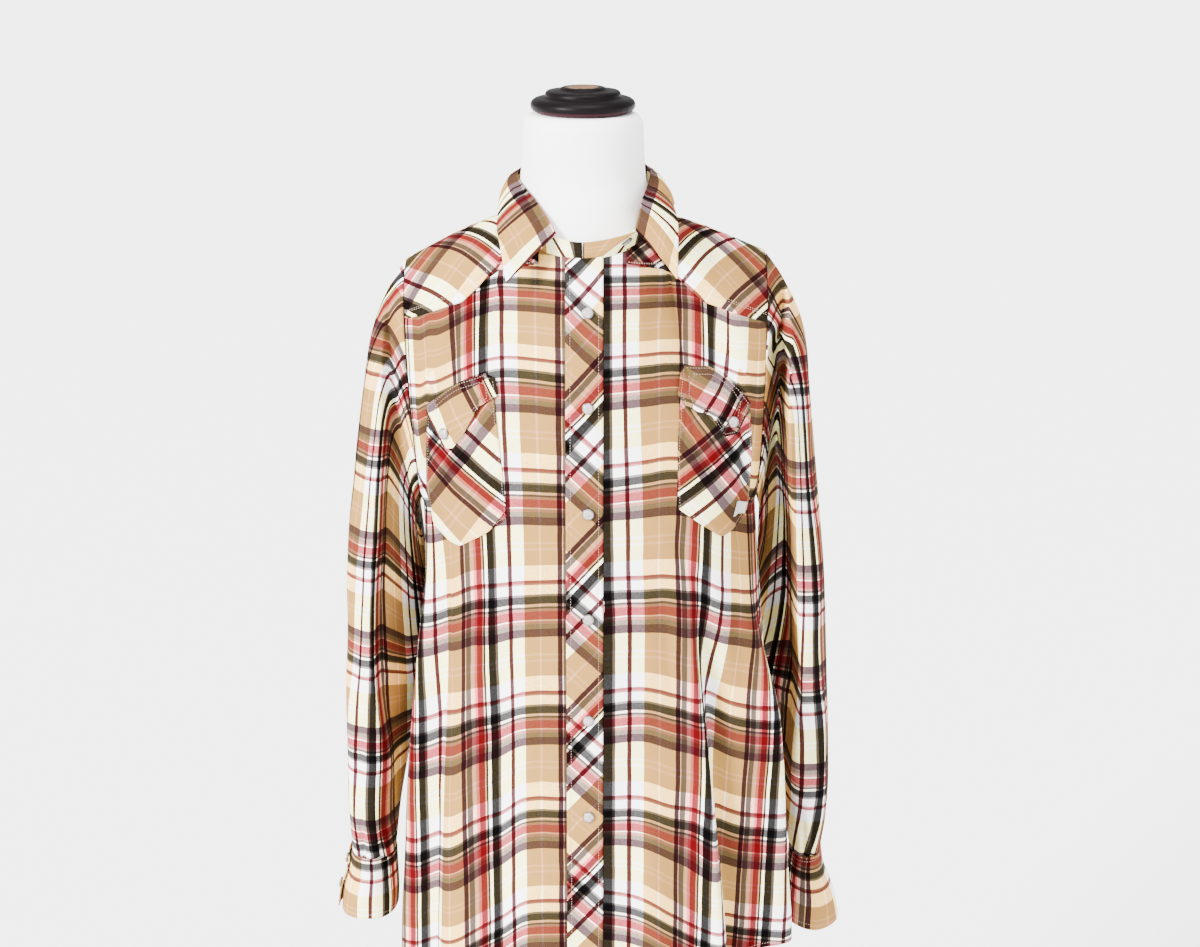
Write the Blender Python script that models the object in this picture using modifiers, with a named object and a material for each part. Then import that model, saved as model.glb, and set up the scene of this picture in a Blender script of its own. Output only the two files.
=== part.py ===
"""Western snap shirt on a limbless dress form.

Metres, +Z up. The shirt faces -Y, so +X is the wearer's left. The origin is on
the floor, under the middle of the stand's base. The shirt's body is a front and
a back surface, worked out from rings below the armhole and from curves that
climb to the neckline and the shoulder seams above it. The panels are patches of
those surfaces, and what is sewn on a panel is cut from the panel's own points,
moved out.
"""

import math

import bmesh
import bpy
import numpy as np
from mathutils import Vector

# ---------------------------------------------------------------- driving dimensions

WALL = 0.0015                 # flannel with its seam allowances, as a wall
GAP = 0.0003                  # between pieces that are sewn together
LAYER = WALL + GAP            # how far one more layer of cloth stands out

ARMPIT_Z = 1.120
ROUNDNESS = 2.4               # power of the super-ellipse that each body ring follows
HEM_CENTRE_Z = {"front": 0.600, "back": 0.590}
HEM_SIDE_Z = {"left": 0.668, "right": 0.615}
HEM_STRAIGHT = 18.0           # degrees each way of the middle before the hem starts to rise
HEM_SIDE_AT = 66.0            # degrees where the hem has reached its side height

NECK_HALF_WIDTH = 0.072
NECK_DEPTH = {"front": 0.086, "back": 0.066}
NECK_CENTRE_Z = {"front": 1.372, "back": 1.408}
NECK_POINT_Z = 1.398
NECK_SHARE = 0.40             # share of a quarter turn that the neckline takes
SHOULDER_TIP_X = {"left": 0.173, "right": 0.169}
SHOULDER_TIP_Z = {"left": 1.362, "right": 1.354}
SEAM_SLIT = 0.0006            # half the slit between the panels along the shoulder

PLACKET_X = (-0.0160, 0.0190)
CENTRE_SPLIT = 3.0            # degrees from the middle where the two fronts meet, under the placket
SEAM_DEGREES = 0.14           # the gap between two panels, as an angle round the body

FRONT_STEP = 5.6              # degrees between the columns of the front
BACK_STEP = 9.0
YOKE_END_X = {"left": 0.1690, "right": 0.1650}
LOW_ROWS = 10                 # rows from the hem to the armhole
HIGH_ROWS = 9                 # rows from the armhole to the shoulder

SNAP_RADIUS = 0.0056
SNAP_HEIGHT = 0.0030
SNAP_SEGMENTS = 10
SNAP_SEAT = 0.0004            # from the cloth to the flat underside of a snap
CUFF_SNAPS = ((0.30, 0.0007), (0.70, 0.0003))   # share of the way down the cuff, and the seat
FLAP_SNAPS = {"right": (-0.126, 1.205), "left": (0.137, 1.216)}

NECK_TOP_Z = 1.4945
FORM_BOTTOM_Z = 0.720
POLE_RADIUS = 0.016
BASE_RADIUS = 0.185
BASE_HEIGHT = 0.028


def table(columns, rows):
    """Rows of numbers as dictionaries with the names in columns."""
    names = columns.split()
    return [dict(zip(names, row)) for row in rows]


# Rings of the body at rest: half widths on the wearer's left and right, depths before and behind.
BODY_RINGS = table("z left right front back", [
    (0.560, 0.192, 0.192, 0.139, 0.128),
    (0.690, 0.194, 0.187, 0.138, 0.126),
    (0.760, 0.192, 0.182, 0.136, 0.122),
    (0.840, 0.188, 0.177, 0.134, 0.118),
    (0.910, 0.184, 0.170, 0.132, 0.115),
    (0.980, 0.179, 0.163, 0.131, 0.114),
    (1.050, 0.173, 0.157, 0.130, 0.115),
    (1.120, 0.168, 0.157, 0.127, 0.117),
])

# How the surface leaves the neckline and shoulder seam: forward or backward, and down.
FRONT_REACH = table("share out down", [
    (0.00, 0.024, 0.046),
    (0.20, 0.034, 0.034),
    (0.40, 0.056, 0.006),
    (0.70, 0.078, 0.001),
    (1.00, 0.064, 0.034),
])
BACK_REACH = table("share out down", [
    (0.00, 0.030, 0.030),
    (0.20, 0.040, 0.024),
    (0.40, 0.056, 0.006),
    (0.70, 0.072, 0.001),
    (1.00, 0.064, 0.034),
])
CHEST_RISE = 0.120            # how far the surface climbs straight up from the armhole level
ARMHOLE_BOW = {"front": 0.085, "back": 0.080}

# Folds of the body: a soft ridge (height > 0) or trough, in degrees round from the middle.
FOLDS = table("face top bottom top_at bottom_at width height", [
    ("front", 1.100, 0.560, 28.0, 43.0, 5.0, 0.013),
    ("front", 1.100, 0.560, 35.0, 52.0, 5.5, -0.016),
    ("front", 1.060, 0.600, 60.0, 70.0, 9.5, 0.030),
    ("front", 0.900, 0.560, 14.0, 18.0, 6.0, 0.006),
    ("front", 1.000, 0.560, -12.0, -10.0, 6.5, 0.004),
    ("front", 1.080, 0.560, -25.0, -24.0, 7.0, -0.007),
    ("front", 1.060, 0.560, -40.0, -39.0, 7.0, 0.007),
    ("front", 1.180, 0.600, -58.0, -52.0, 5.5, -0.009),
    ("front", 1.150, 0.560, -70.0, -67.0, 7.0, 0.009),
    ("front", 1.250, 1.000, 66.0, 58.0, 7.0, -0.006),
    ("back", 1.240, 0.560, -54.0, -44.0, 7.5, 0.012),
    ("back", 1.240, 0.560, -32.0, -26.0, 7.5, -0.010),
    ("back", 1.240, 0.560, -12.0, -9.0, 7.5, 0.007),
    ("back", 1.240, 0.560, 10.0, 12.0, 7.5, -0.008),
    ("back", 1.240, 0.560, 30.0, 29.0, 8.0, 0.011),
    ("back", 1.200, 0.560, 50.0, 47.0, 7.5, -0.010),
    ("back", 1.100, 0.560, 68.0, 66.0, 8.0, 0.004),
])
FOLD_SIDE_FADE = (78.0, 89.5)  # degrees over which the folds die out towards the side seam

# Sleeves hang empty and flat, with a deep fold down the front between an outer and an inner lobe.
SLEEVE_ROWS = {
    "right": table("outer_x outer_z inner_x inner_z middle front back groove tuck", [
        (0.1705, 1.3540, 0.1600, 1.1180, 0.000, 0.058, 0.058, 0.00, 0.000),
        (0.1860, 1.3300, 0.1640, 1.1000, 0.002, 0.063, 0.064, 0.00, 0.004),
        (0.2030, 1.2890, 0.1650, 1.0780, 0.004, 0.068, 0.070, 0.15, 0.014),
        (0.2130, 1.2350, 0.1640, 1.0500, 0.006, 0.069, 0.074, 0.55, 0.026),
        (0.2240, 1.1600, 0.1620, 1.0100, 0.008, 0.066, 0.074, 0.90, 0.034),
        (0.2335, 1.0600, 0.1635, 0.9600, 0.010, 0.062, 0.070, 1.00, 0.038),
        (0.2385, 0.9650, 0.1685, 0.9050, 0.012, 0.058, 0.064, 0.90, 0.036),
        (0.2420, 0.8650, 0.1790, 0.8450, 0.014, 0.052, 0.056, 0.50, 0.026),
        (0.2430, 0.7900, 0.1900, 0.7850, 0.014, 0.046, 0.048, 0.20, 0.012),
        (0.2410, 0.7335, 0.1960, 0.7335, 0.014, 0.034, 0.034, 0.00, 0.000),
    ]),
    "left": table("outer_x outer_z inner_x inner_z middle front back groove tuck", [
        (0.1745, 1.3620, 0.1710, 1.1180, 0.000, 0.058, 0.058, 0.00, 0.000),
        (0.1920, 1.3360, 0.1750, 1.1000, 0.004, 0.063, 0.064, 0.00, 0.004),
        (0.2120, 1.2920, 0.1780, 1.0800, 0.008, 0.066, 0.068, 0.20, 0.014),
        (0.2190, 1.2400, 0.1790, 1.0500, 0.012, 0.066, 0.072, 0.70, 0.026),
        (0.2280, 1.1600, 0.1790, 1.0100, 0.016, 0.062, 0.072, 1.00, 0.032),
        (0.2395, 1.0500, 0.1800, 0.9600, 0.018, 0.058, 0.066, 1.00, 0.036),
        (0.2460, 0.9400, 0.1840, 0.9000, 0.020, 0.054, 0.058, 0.80, 0.034),
        (0.2510, 0.8400, 0.1930, 0.8300, 0.022, 0.048, 0.050, 0.45, 0.026),
        (0.2520, 0.7850, 0.2040, 0.7800, 0.024, 0.042, 0.044, 0.20, 0.012),
        (0.2450, 0.7295, 0.2140, 0.7295, 0.022, 0.030, 0.030, 0.00, 0.000),
    ]),
}
SLEEVE_ROUNDNESS = 2.3
SLEEVE_STEPS = 18             # rows of the sleeve mesh
# Degrees round the sleeve at which its mesh has points: close together at the front fold.
SLEEVE_TURNS = (0, 24, 46, 62, 74, 83, 91, 99, 107, 118, 134, 156, 180, 204, 228, 252, 270, 288, 312, 336)
SLEEVE_SEAM = 0.0011          # from the armhole edge to the sleeve's first row
GROOVE_AT = -0.15             # across the sleeve, from 1 at the outer edge to -1 at the inner
GROOVE_WIDTH = 0.22
GROOVE_DEPTH = 0.80           # share of the half depth
INNER_LOBE_BACK = 0.42        # how far the inner lobe stays behind the outer, as a share

# Cuffs: bands that flare open below the gathered sleeve and lap over at the back.
CUFF_ROWS = {
    "right": table("x y z half_x half_y", [
        (0.2185, 0.014, 0.7330, 0.0235, 0.0350),
        (0.2195, 0.014, 0.7130, 0.0250, 0.0365),
        (0.2225, 0.012, 0.6900, 0.0290, 0.0385),
        (0.2245, 0.010, 0.6690, 0.0300, 0.0390),
    ]),
    "left": table("x y z half_x half_y", [
        (0.2295, 0.022, 0.7290, 0.0165, 0.0310),
        (0.2305, 0.020, 0.7080, 0.0185, 0.0330),
        (0.2345, 0.016, 0.6820, 0.0245, 0.0370),
        (0.2375, 0.012, 0.6560, 0.0275, 0.0390),
    ]),
}
CUFF_LAP = 40.0               # degrees that the outer end laps over the inner end
CUFF_OPEN_AT = {"right": 150.0, "left": 30.0}
CUFF_STEPS = 26

# Outlines of what is sewn on the front, as seen from the front: x and z.
FRONT_YOKE = table("x z", [
    (0.040, 1.366), (0.074, 1.357), (0.092, 1.345), (0.104, 1.334), (0.113, 1.326),
    (0.126, 1.3215), (0.145, 1.314), (0.200, 1.292),
])
POCKET = {
    "right": table("x z", [
        (-0.083, 1.255), (-0.076, 1.190), (-0.071, 1.132), (-0.092, 1.114), (-0.117, 1.098),
        (-0.130, 1.099), (-0.1435, 1.109), (-0.1500, 1.150), (-0.1490, 1.190), (-0.146, 1.225),
    ]),
    "left": table("x z", [
        (0.092, 1.262), (0.088, 1.200), (0.089, 1.140), (0.108, 1.124), (0.131, 1.105),
        (0.147, 1.108), (0.1585, 1.120), (0.1600, 1.160), (0.160, 1.190), (0.157, 1.228),
    ]),
}
FLAP = {
    "right": table("x z", [
        (-0.080, 1.262), (-0.077, 1.247), (-0.096, 1.231), (-0.109, 1.205), (-0.119, 1.192),
        (-0.128, 1.190), (-0.136, 1.203), (-0.147, 1.222), (-0.147, 1.230), (-0.133, 1.241),
        (-0.112, 1.255), (-0.090, 1.264),
    ]),
    "left": table("x z", [
        (0.090, 1.271), (0.087, 1.246), (0.096, 1.232), (0.117, 1.224), (0.130, 1.202),
        (0.143, 1.203), (0.152, 1.216), (0.157, 1.232), (0.148, 1.246), (0.135, 1.257),
        (0.115, 1.269),
    ]),
}
LABEL = table("x z", [(0.1430, 1.134), (0.1560, 1.130), (0.1530, 1.1175), (0.1400, 1.1215)])
POCKET_PUFF = 0.0035          # how far a pocket stands off the front at its middle
FLAP_PUFF = 0.0030

# The back yoke ends in a western point.
BACK_YOKE = table("x z", [
    (0.000, 1.215), (0.030, 1.238), (0.066, 1.262), (0.100, 1.270), (0.140, 1.262), (0.200, 1.250),
])

FRONT_SNAPS_Z = (1.325, 1.239, 1.139, 1.036, 0.934, 0.835)
FRONT_SNAP_X = 0.0050

# Collar: the stand rises from the neckline, and the leaf folds over it.
COLLAR_STATIONS = table("angle fold_x fold_y fold_z edge_x edge_y edge_z", [
    (0, -0.0250, -0.0830, 1.3926, -0.0688, -0.1130, 1.3553),
    (1, -0.0344, -0.0700, 1.4070, -0.0742, -0.0960, 1.3835),
    (2, -0.0455, -0.0520, 1.4195, -0.0785, -0.0700, 1.3965),
    (3, -0.0540, -0.0350, 1.4265, -0.0785, -0.0400, 1.4060),
    (4, -0.0635, 0.0080, 1.4345, -0.0790, 0.0140, 1.4045),
    (5, -0.0500, 0.0460, 1.4385, -0.0640, 0.0600, 1.4050),
    (6, -0.0200, 0.0640, 1.4400, -0.0270, 0.0830, 1.4065),
    (7, 0.0200, 0.0640, 1.4410, 0.0270, 0.0830, 1.4070),
    (8, 0.0500, 0.0460, 1.4410, 0.0660, 0.0600, 1.4070),
    (9, 0.0640, 0.0100, 1.4375, 0.0850, 0.0140, 1.4070),
    (10, 0.0620, -0.0220, 1.4285, 0.0845, -0.0260, 1.4095),
    (11, 0.0559, -0.0540, 1.4193, 0.0872, -0.0640, 1.4022),
    (12, 0.0535, -0.0710, 1.4110, 0.0864, -0.0960, 1.3790),
    (13, 0.0495, -0.0835, 1.3960, 0.0861, -0.1120, 1.3580),
])
FOLD_LINE = ("fold_x", "fold_y", "fold_z")
EDGE_LINE = ("edge_x", "edge_y", "edge_z")
COLLAR_STEPS = 30
STAND_ENDS = (0.02, 0.98)     # share of the way round at which the stand ends
STAND_FOOT_IN = 0.985         # its foot stands this much inside the neckline
STAND_UNDER_LEAF = 0.0040
COLLAR_SNAP_AT = (0.956, 0.60)  # share round and up the stand
COLLAR_SNAP_SEAT = 0.0032
LEAF_BULGE = 0.003

# Sections of the white form: half width, depth before and behind.
FORM_RINGS = table("z wide front back", [
    (0.720, 0.136, 0.088, 0.086),
    (0.760, 0.145, 0.093, 0.092),
    (0.840, 0.144, 0.094, 0.092),
    (0.920, 0.130, 0.089, 0.082),
    (1.000, 0.114, 0.087, 0.076),
    (1.070, 0.119, 0.095, 0.083),
    (1.120, 0.130, 0.104, 0.092),
])
FORM_STEP = 9.0               # degrees between the form's columns
FORM_SIDE_FLAT = 0.92         # share of the quarter turn that a low ring covers
FORM_LEVEL_ROWS = (2, 4, 5, 6, 7, 8, 9)   # of the rows from the armhole to the shoulder
FORM_EASE = 0.016             # between the form and the cloth at the armhole level
FORM_ARM_SHORT = 0.10         # share by which the form's flat arm ends stop short of the armholes
FORM_CLEAR = 0.0014           # between the form's shoulders and the cloth that rests on them
FORM_NECK_FOOT = 0.94         # the neck starts this much inside the shirt's neckline
NECK_RINGS = ((0.0590, 1.432), (0.0580, 1.460), (0.0570, 1.485), (0.0530, 1.4925), (0.0480, 1.4945))
CAP_PROFILE = [
    (0.0, 0.0238), (0.0205, 0.0238), (0.0215, 0.0222), (0.0330, 0.0205), (0.0355, 0.0180),
    (0.0362, 0.0150), (0.0440, 0.0138), (0.0485, 0.0110), (0.0495, 0.0070), (0.0480, 0.0030),
    (0.0430, 0.0), (0.0, 0.0),
]

COLOURS = {
    "flannel": ((0.56, 0.36, 0.22, 1.0), 0.95, 0.0),
    "flannel_bias": ((0.42, 0.10, 0.09, 1.0), 0.95, 0.0),
    "pearl": ((0.86, 0.84, 0.80, 1.0), 0.25, 0.1),
    "label": ((0.86, 0.85, 0.82, 1.0), 0.9, 0.0),
    "form_cloth": ((0.90, 0.90, 0.89, 1.0), 0.8, 0.0),
    "black_wood": ((0.018, 0.013, 0.012, 1.0), 0.35, 0.0),
    "black_metal": ((0.02, 0.02, 0.02, 1.0), 0.4, 0.6),
}

# ---------------------------------------------------------------- small helpers


def smooth(value, start=0.0, end=1.0):
    """0 before start, 1 after end, an even S between them."""
    share = min(1.0, max(0.0, (value - start) / (end - start)))
    return share * share * (3.0 - 2.0 * share)


def spline(keys, values, key):
    """Catmull-Rom curve through values at rising keys; it stays flat past either end."""
    if key <= keys[0]:
        return values[0]
    if key >= keys[-1]:
        return values[-1]
    i = int(np.searchsorted(keys, key, side="right")) - 1
    span = keys[i + 1] - keys[i]
    t = (key - keys[i]) / span

    def slope(j):
        low, high = max(0, j - 1), min(len(keys) - 1, j + 1)
        return (values[high] - values[low]) / (keys[high] - keys[low])

    m0, m1 = slope(i) * span, slope(i + 1) * span
    return ((2 * t**3 - 3 * t**2 + 1) * values[i] + (t**3 - 2 * t**2 + t) * m0
            + (3 * t**2 - 2 * t**3) * values[i + 1] + (t**3 - t**2) * m1)


def read(rows, key_column, key, column):
    """The smooth value of one column of a table at a key."""
    return spline([row[key_column] for row in rows], [row[column] for row in rows], key)


def row_at(rows, position, column):
    """The smooth value of a column at a position counted in rows."""
    return spline(list(range(len(rows))), [row[column] for row in rows], position)


def side_of(angle):
    """The wearer's side: their left is at +X."""
    return "left" if angle >= 0.0 else "right"


def unit(vector):
    return vector / np.linalg.norm(vector)


# ---------------------------------------------------------------- the body's surfaces


def hem_z(angle, face):
    """The hem dips in the middle of each tail and rises to the side seam."""
    centre = HEM_CENTRE_Z[face]
    rise = smooth(abs(angle), HEM_STRAIGHT, HEM_SIDE_AT)
    return centre + (HEM_SIDE_Z[side_of(angle)] - centre) * rise


def ring_point(angle, z, face):
    """A point of the ring at height z, angle degrees round from the middle of the face."""
    turn = math.radians(min(abs(angle), 90.0))
    wide = read(BODY_RINGS, "z", z, side_of(angle))
    deep = read(BODY_RINGS, "z", z, face)
    x = wide * math.sin(turn) ** (2.0 / ROUNDNESS)
    y = deep * max(0.0, math.cos(turn)) ** (2.0 / ROUNDNESS)
    return np.array([math.copysign(x, angle), -y if face == "front" else y, z])


def top_point(angle, face):
    """A point of the neckline and the shoulder seam."""
    share = abs(angle) / 90.0
    side = side_of(angle)
    if share <= NECK_SHARE:
        turn = share / NECK_SHARE * math.pi / 2.0
        x = NECK_HALF_WIDTH * math.sin(turn)
        y = NECK_DEPTH[face] * math.cos(turn)
        z = NECK_POINT_Z + (NECK_CENTRE_Z[face] - NECK_POINT_Z) * math.cos(turn) ** 1.3
    else:
        along = (share - NECK_SHARE) / (1.0 - NECK_SHARE)
        x = NECK_HALF_WIDTH + (SHOULDER_TIP_X[side] - NECK_HALF_WIDTH) * along
        y = 0.0
        z = NECK_POINT_Z + (SHOULDER_TIP_Z[side] - NECK_POINT_Z) * along ** 1.25
    y = max(y, SEAM_SLIT * (1.0 + smooth(share, 0.7, 1.0)))
    return np.array([math.copysign(x, angle), -y if face == "front" else y, z])


def plain_point(angle, level, face):
    """The surface with no folds: level 0 is the hem, 1 the armhole's foot, 2 the shoulder."""
    if level <= 1.0:
        low = hem_z(angle, face)
        return ring_point(angle, low + (ARMPIT_Z - low) * level, face)
    share = abs(angle) / 90.0
    sign = -1.0 if face == "front" else 1.0
    reach = FRONT_REACH if face == "front" else BACK_REACH
    start = ring_point(angle, ARMPIT_Z, face)
    end = top_point(angle, face)
    edge = smooth(share, 0.55, 1.0)
    climb = np.array([0.0, sign * ARMHOLE_BOW[face] * edge, CHEST_RISE * (1.0 - 0.85 * edge)])
    leave = np.array([
        math.copysign(-0.004 * edge, angle),
        sign * read(reach, "share", share, "out"),
        -read(reach, "share", share, "down"),
    ])
    t = level - 1.0
    return ((1 - t) ** 3 * start + 3 * (1 - t) ** 2 * t * (start + climb)
            + 3 * (1 - t) * t**2 * (end + leave) + t**3 * end)


def fold_height(angle, z, face):
    """How far the folds push the cloth out here."""
    height = 0.0
    for fold in FOLDS:
        if fold["face"] != face or z >= fold["top"]:
            continue
        down = min(1.0, (fold["top"] - z) / (fold["top"] - fold["bottom"]))
        centre = fold["top_at"] + (fold["bottom_at"] - fold["top_at"]) * down
        across = (angle - centre) / fold["width"]
        height += fold["height"] * smooth(down, 0.0, 0.35) * math.exp(-across * across)
    return height * (1.0 - smooth(abs(angle), *FOLD_SIDE_FADE))


def surface_normal(point_at, angle, level, face):
    """The outward unit normal of a surface, from points beside the one asked for."""
    turn, step = 0.6, 0.012
    low_angle, high_angle = max(-89.9, angle - turn), min(89.9, angle + turn)
    low_level, high_level = max(0.0, level - step), min(2.0, level + step)
    across = point_at(high_angle, level) - point_at(low_angle, level)
    up = point_at(angle, high_level) - point_at(angle, low_level)
    normal = unit(np.cross(across, up))
    return normal if face == "front" else -normal


def body_point(angle, level, face):
    """The cloth's outer surface, folds and all."""
    plain = plain_point(angle, level, face)
    push = fold_height(angle, plain[2], face)
    if abs(push) < 1e-6:
        return plain
    normal = surface_normal(lambda a, v: plain_point(a, v, face), angle, level, face)
    return plain + normal * push


def body_normal(angle, level, face):
    return surface_normal(lambda a, v: body_point(a, v, face), angle, level, face)


def level_at(angle, z, face):
    """The level at which the column at this angle passes height z."""
    low, high = 0.0, 2.0
    for _ in range(26):
        middle = (low + high) / 2.0
        if body_point(angle, middle, face)[2] < z:
            low = middle
        else:
            high = middle
    return (low + high) / 2.0


def place_on_front(x, z):
    """The angle and level where the front passes x and z."""
    low, high = -89.0, 89.0
    for _ in range(26):
        middle = (low + high) / 2.0
        if body_point(middle, level_at(middle, z, "front"), "front")[0] < x:
            low = middle
        else:
            high = middle
    return low, level_at(low, z, "front")


# ---------------------------------------------------------------- Blender helpers


def clear_scene():
    for obj in list(bpy.data.objects):
        bpy.data.objects.remove(obj, do_unlink=True)


def material(name):
    found = bpy.data.materials.get(name)
    if found:
        return found
    colour, roughness, metallic = COLOURS[name]
    made = bpy.data.materials.new(name)
    made.use_nodes = True
    shader = made.node_tree.nodes["Principled BSDF"]
    shader.inputs["Base Color"].default_value = colour
    shader.inputs["Roughness"].default_value = roughness
    shader.inputs["Metallic"].default_value = metallic
    made.diffuse_color = colour
    return made


def add_object(name, mesh, finish, collection):
    obj = bpy.data.objects.new(name, mesh)
    collection.objects.link(obj)
    mesh.materials.append(material(finish))
    mesh.shade_smooth()
    return obj


def grid_mesh(name, rows, wrap=False, outward=None):
    """A sheet of triangles through rows of points; wrap joins each row's end to its start."""
    bm = bmesh.new()
    verts = [[bm.verts.new(point) for point in row] for row in rows]
    count = len(rows[0])
    for low, high in zip(verts, verts[1:]):
        for i in range(count if wrap else count - 1):
            j = (i + 1) % count
            bm.faces.new((low[i], low[j], high[j]))
            bm.faces.new((low[i], high[j], high[i]))
    if outward is not None:
        bm.normal_update()
        facing = sum(face.normal.dot(outward(face.calc_center_median())) for face in bm.faces)
        if facing < 0.0:
            bmesh.ops.reverse_faces(bm, faces=bm.faces)
    mesh = bpy.data.meshes.new(name)
    bm.to_mesh(mesh)
    bm.free()
    return mesh


def give_wall(obj, outward=False):
    """A wall inward from the modelled face, or outward from it."""
    wall = obj.modifiers.new("wall", "SOLIDIFY")
    wall.thickness = WALL
    wall.offset = 1.0 if outward else -1.0
    wall.use_even_offset = False
    return obj


def cutter_prism(name, outline, y_from, y_to, collection):
    """A prism along Y through an outline in X and Z."""
    bm = bmesh.new()
    near = [bm.verts.new((x, y_from, z)) for x, z in outline]
    bm.faces.new(near)
    far = bmesh.ops.extrude_face_region(bm, geom=bm.faces[:])
    moved = [item for item in far["geom"] if isinstance(item, bmesh.types.BMVert)]
    bmesh.ops.translate(bm, verts=moved, vec=(0.0, y_to - y_from, 0.0))
    bmesh.ops.recalc_face_normals(bm, faces=bm.faces)
    mesh = bpy.data.meshes.new(name)
    bm.to_mesh(mesh)
    bm.free()
    cutter = bpy.data.objects.new(name, mesh)
    collection.objects.link(cutter)
    cutter.hide_render = True
    cutter.display_type = "WIRE"
    return cutter


def keep_inside(obj, cutter):
    """Keep only what lies inside the cutter."""
    cut = obj.modifiers.new("outline", "BOOLEAN")
    cut.operation = "INTERSECT"
    cut.solver = "EXACT"
    cut.object = cutter
    return obj


def away_from_axis(point):
    """Outward for anything that goes round the body."""
    return (point[0], point[1], 0.0)


# ---------------------------------------------------------------- body panels


def levels():
    low = np.linspace(0.0, 1.0, LOW_ROWS + 1)
    high = 1.0 + np.linspace(0.0, 1.0, HIGH_ROWS + 1)[1:]
    return list(low) + list(high)


def panel(name, face, angles, finish, collection):
    rows = [[body_point(angle, level, face) for angle in angles] for level in levels()]
    mesh = grid_mesh(name, rows, outward=away_from_axis)
    return give_wall(add_object(name, mesh, finish, collection))


def columns(start, end, step):
    count = max(1, round((end - start) / step))
    return list(np.linspace(start, end, count + 1))


def make_panels(collection):
    split = SEAM_DEGREES / 2.0
    side = 90.0 - split
    front_right = columns(-side, CENTRE_SPLIT - split, FRONT_STEP)
    front_left = columns(CENTRE_SPLIT + split, side, FRONT_STEP)
    panel("front_right", "front", front_right, "flannel", collection)
    panel("front_left", "front", front_left, "flannel", collection)
    panel("back", "back", columns(-side, side, BACK_STEP), "flannel", collection)
    return front_right + front_left, columns(-side, side, BACK_STEP)


def lying_on(name, face, angles, outline, stand_off, finish, parts, cutters):
    """A layer made from a panel's own points, moved out and cut to its outline."""
    xs = [x for x, _ in outline]
    zs = [z for _, z in outline]
    rows = []
    for level in levels():
        row = []
        for angle in angles:
            point = body_point(angle, level, face)
            row.append(point + body_normal(angle, level, face) * stand_off(point[0], point[2]))
        rows.append(row)
    reach = 0.03
    inside = [i for i, row in enumerate(rows)
              if max(p[2] for p in row) > min(zs) - reach and min(p[2] for p in row) < max(zs) + reach]
    near = [i for i in range(len(angles))
            if any(min(xs) - reach < row[i][0] < max(xs) + reach for row in rows)]
    kept = [[rows[i][j] for j in range(near[0], near[-1] + 1)]
            for i in range(inside[0], inside[-1] + 1)]
    mesh = grid_mesh(name, kept, outward=away_from_axis)
    obj = give_wall(add_object(name, mesh, finish, parts), outward=True)
    ends = (-0.30, -0.004) if face == "front" else (0.004, 0.30)
    cutter = cutter_prism(name + "_outline", outline, *ends, cutters)
    return keep_inside(obj, cutter)


def one_layer(x, z):
    return GAP


def puffed(outline, layers, height):
    """Stand-off of a layer that rises in the middle of its outline."""
    xs = [point[0] for point in outline]
    zs = [point[1] for point in outline]
    mid_x, mid_z = (min(xs) + max(xs)) / 2.0, (min(zs) + max(zs)) / 2.0
    half_x, half_z = (max(xs) - min(xs)) / 2.0, (max(zs) - min(zs)) / 2.0

    def stand_off(x, z):
        across = min(1.0, abs(x - mid_x) / half_x)
        along = min(1.0, abs(z - mid_z) / half_z)
        return GAP + layers * LAYER + height * (1 - across**2) * (1 - along**2)

    return stand_off


def as_points(rows):
    return [(row["x"], row["z"]) for row in rows]


def make_yokes(angles_front, angles_back, parts, cutters):
    top = 1.45
    low_edge = as_points(FRONT_YOKE)
    for side, sign in (("right", -1.0), ("left", 1.0)):
        end = YOKE_END_X[side]
        outline = [(sign * min(x, end), z) for x, z in low_edge] + [(sign * end, top), (sign * 0.040, top)]
        angles = [a for a in angles_front if sign * a > 5.0]
        lying_on("front_yoke_" + side, "front", angles, outline, one_layer, "flannel_bias",
                 parts, cutters)
    half = as_points(BACK_YOKE)
    left, right = YOKE_END_X["left"], YOKE_END_X["right"]
    outline = [(min(x, left), z) for x, z in half] + [(left, top), (-right, top)]
    outline += [(-min(x, right), z) for x, z in half[:0:-1]]
    lying_on("back_yoke", "back", angles_back, outline, one_layer, "flannel_bias", parts, cutters)


def make_placket(angles, parts, cutters):
    left, right = PLACKET_X
    outline = [(left, 0.50), (right, 0.50), (right, 1.45), (left, 1.45)]
    lying_on("placket", "front", [a for a in angles if abs(a) < 25.0], outline, one_layer,
             "flannel_bias", parts, cutters)


def make_pockets(angles, parts, cutters):
    for side, sign in (("right", -1.0), ("left", 1.0)):
        near = [a for a in angles if sign * a > 5.0]
        pocket = as_points(POCKET[side])
        lift = puffed(pocket, 0, POCKET_PUFF)
        lying_on("pocket_" + side, "front", near, pocket, lift, "flannel_bias", parts, cutters)
        flap = as_points(FLAP[side])
        curl = puffed(flap, 0, FLAP_PUFF)

        def over(x, z, lift=lift, curl=curl):
            return lift(x, z) + LAYER + curl(x, z) - GAP

        lying_on("pocket_flap_" + side, "front", near, flap, over, "flannel_bias", parts, cutters)
    near = [a for a in angles if a > 5.0]
    lift = puffed(as_points(POCKET["left"]), 1, POCKET_PUFF)
    lying_on("pocket_tab", "front", near, as_points(LABEL), lift, "label", parts, cutters)


# ---------------------------------------------------------------- sleeves and cuffs


def armhole_point(turn, side):
    """The body's armhole edge: 0 at the shoulder, 180 at its foot, the front on the way."""
    angle = 90.0 if side == "left" else -90.0
    turn = turn % 360.0
    if turn <= 180.0:
        return body_point(angle, 2.0 - turn / 180.0, "front")
    return body_point(angle, 1.0 + (turn - 180.0) / 180.0, "back")


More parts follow.
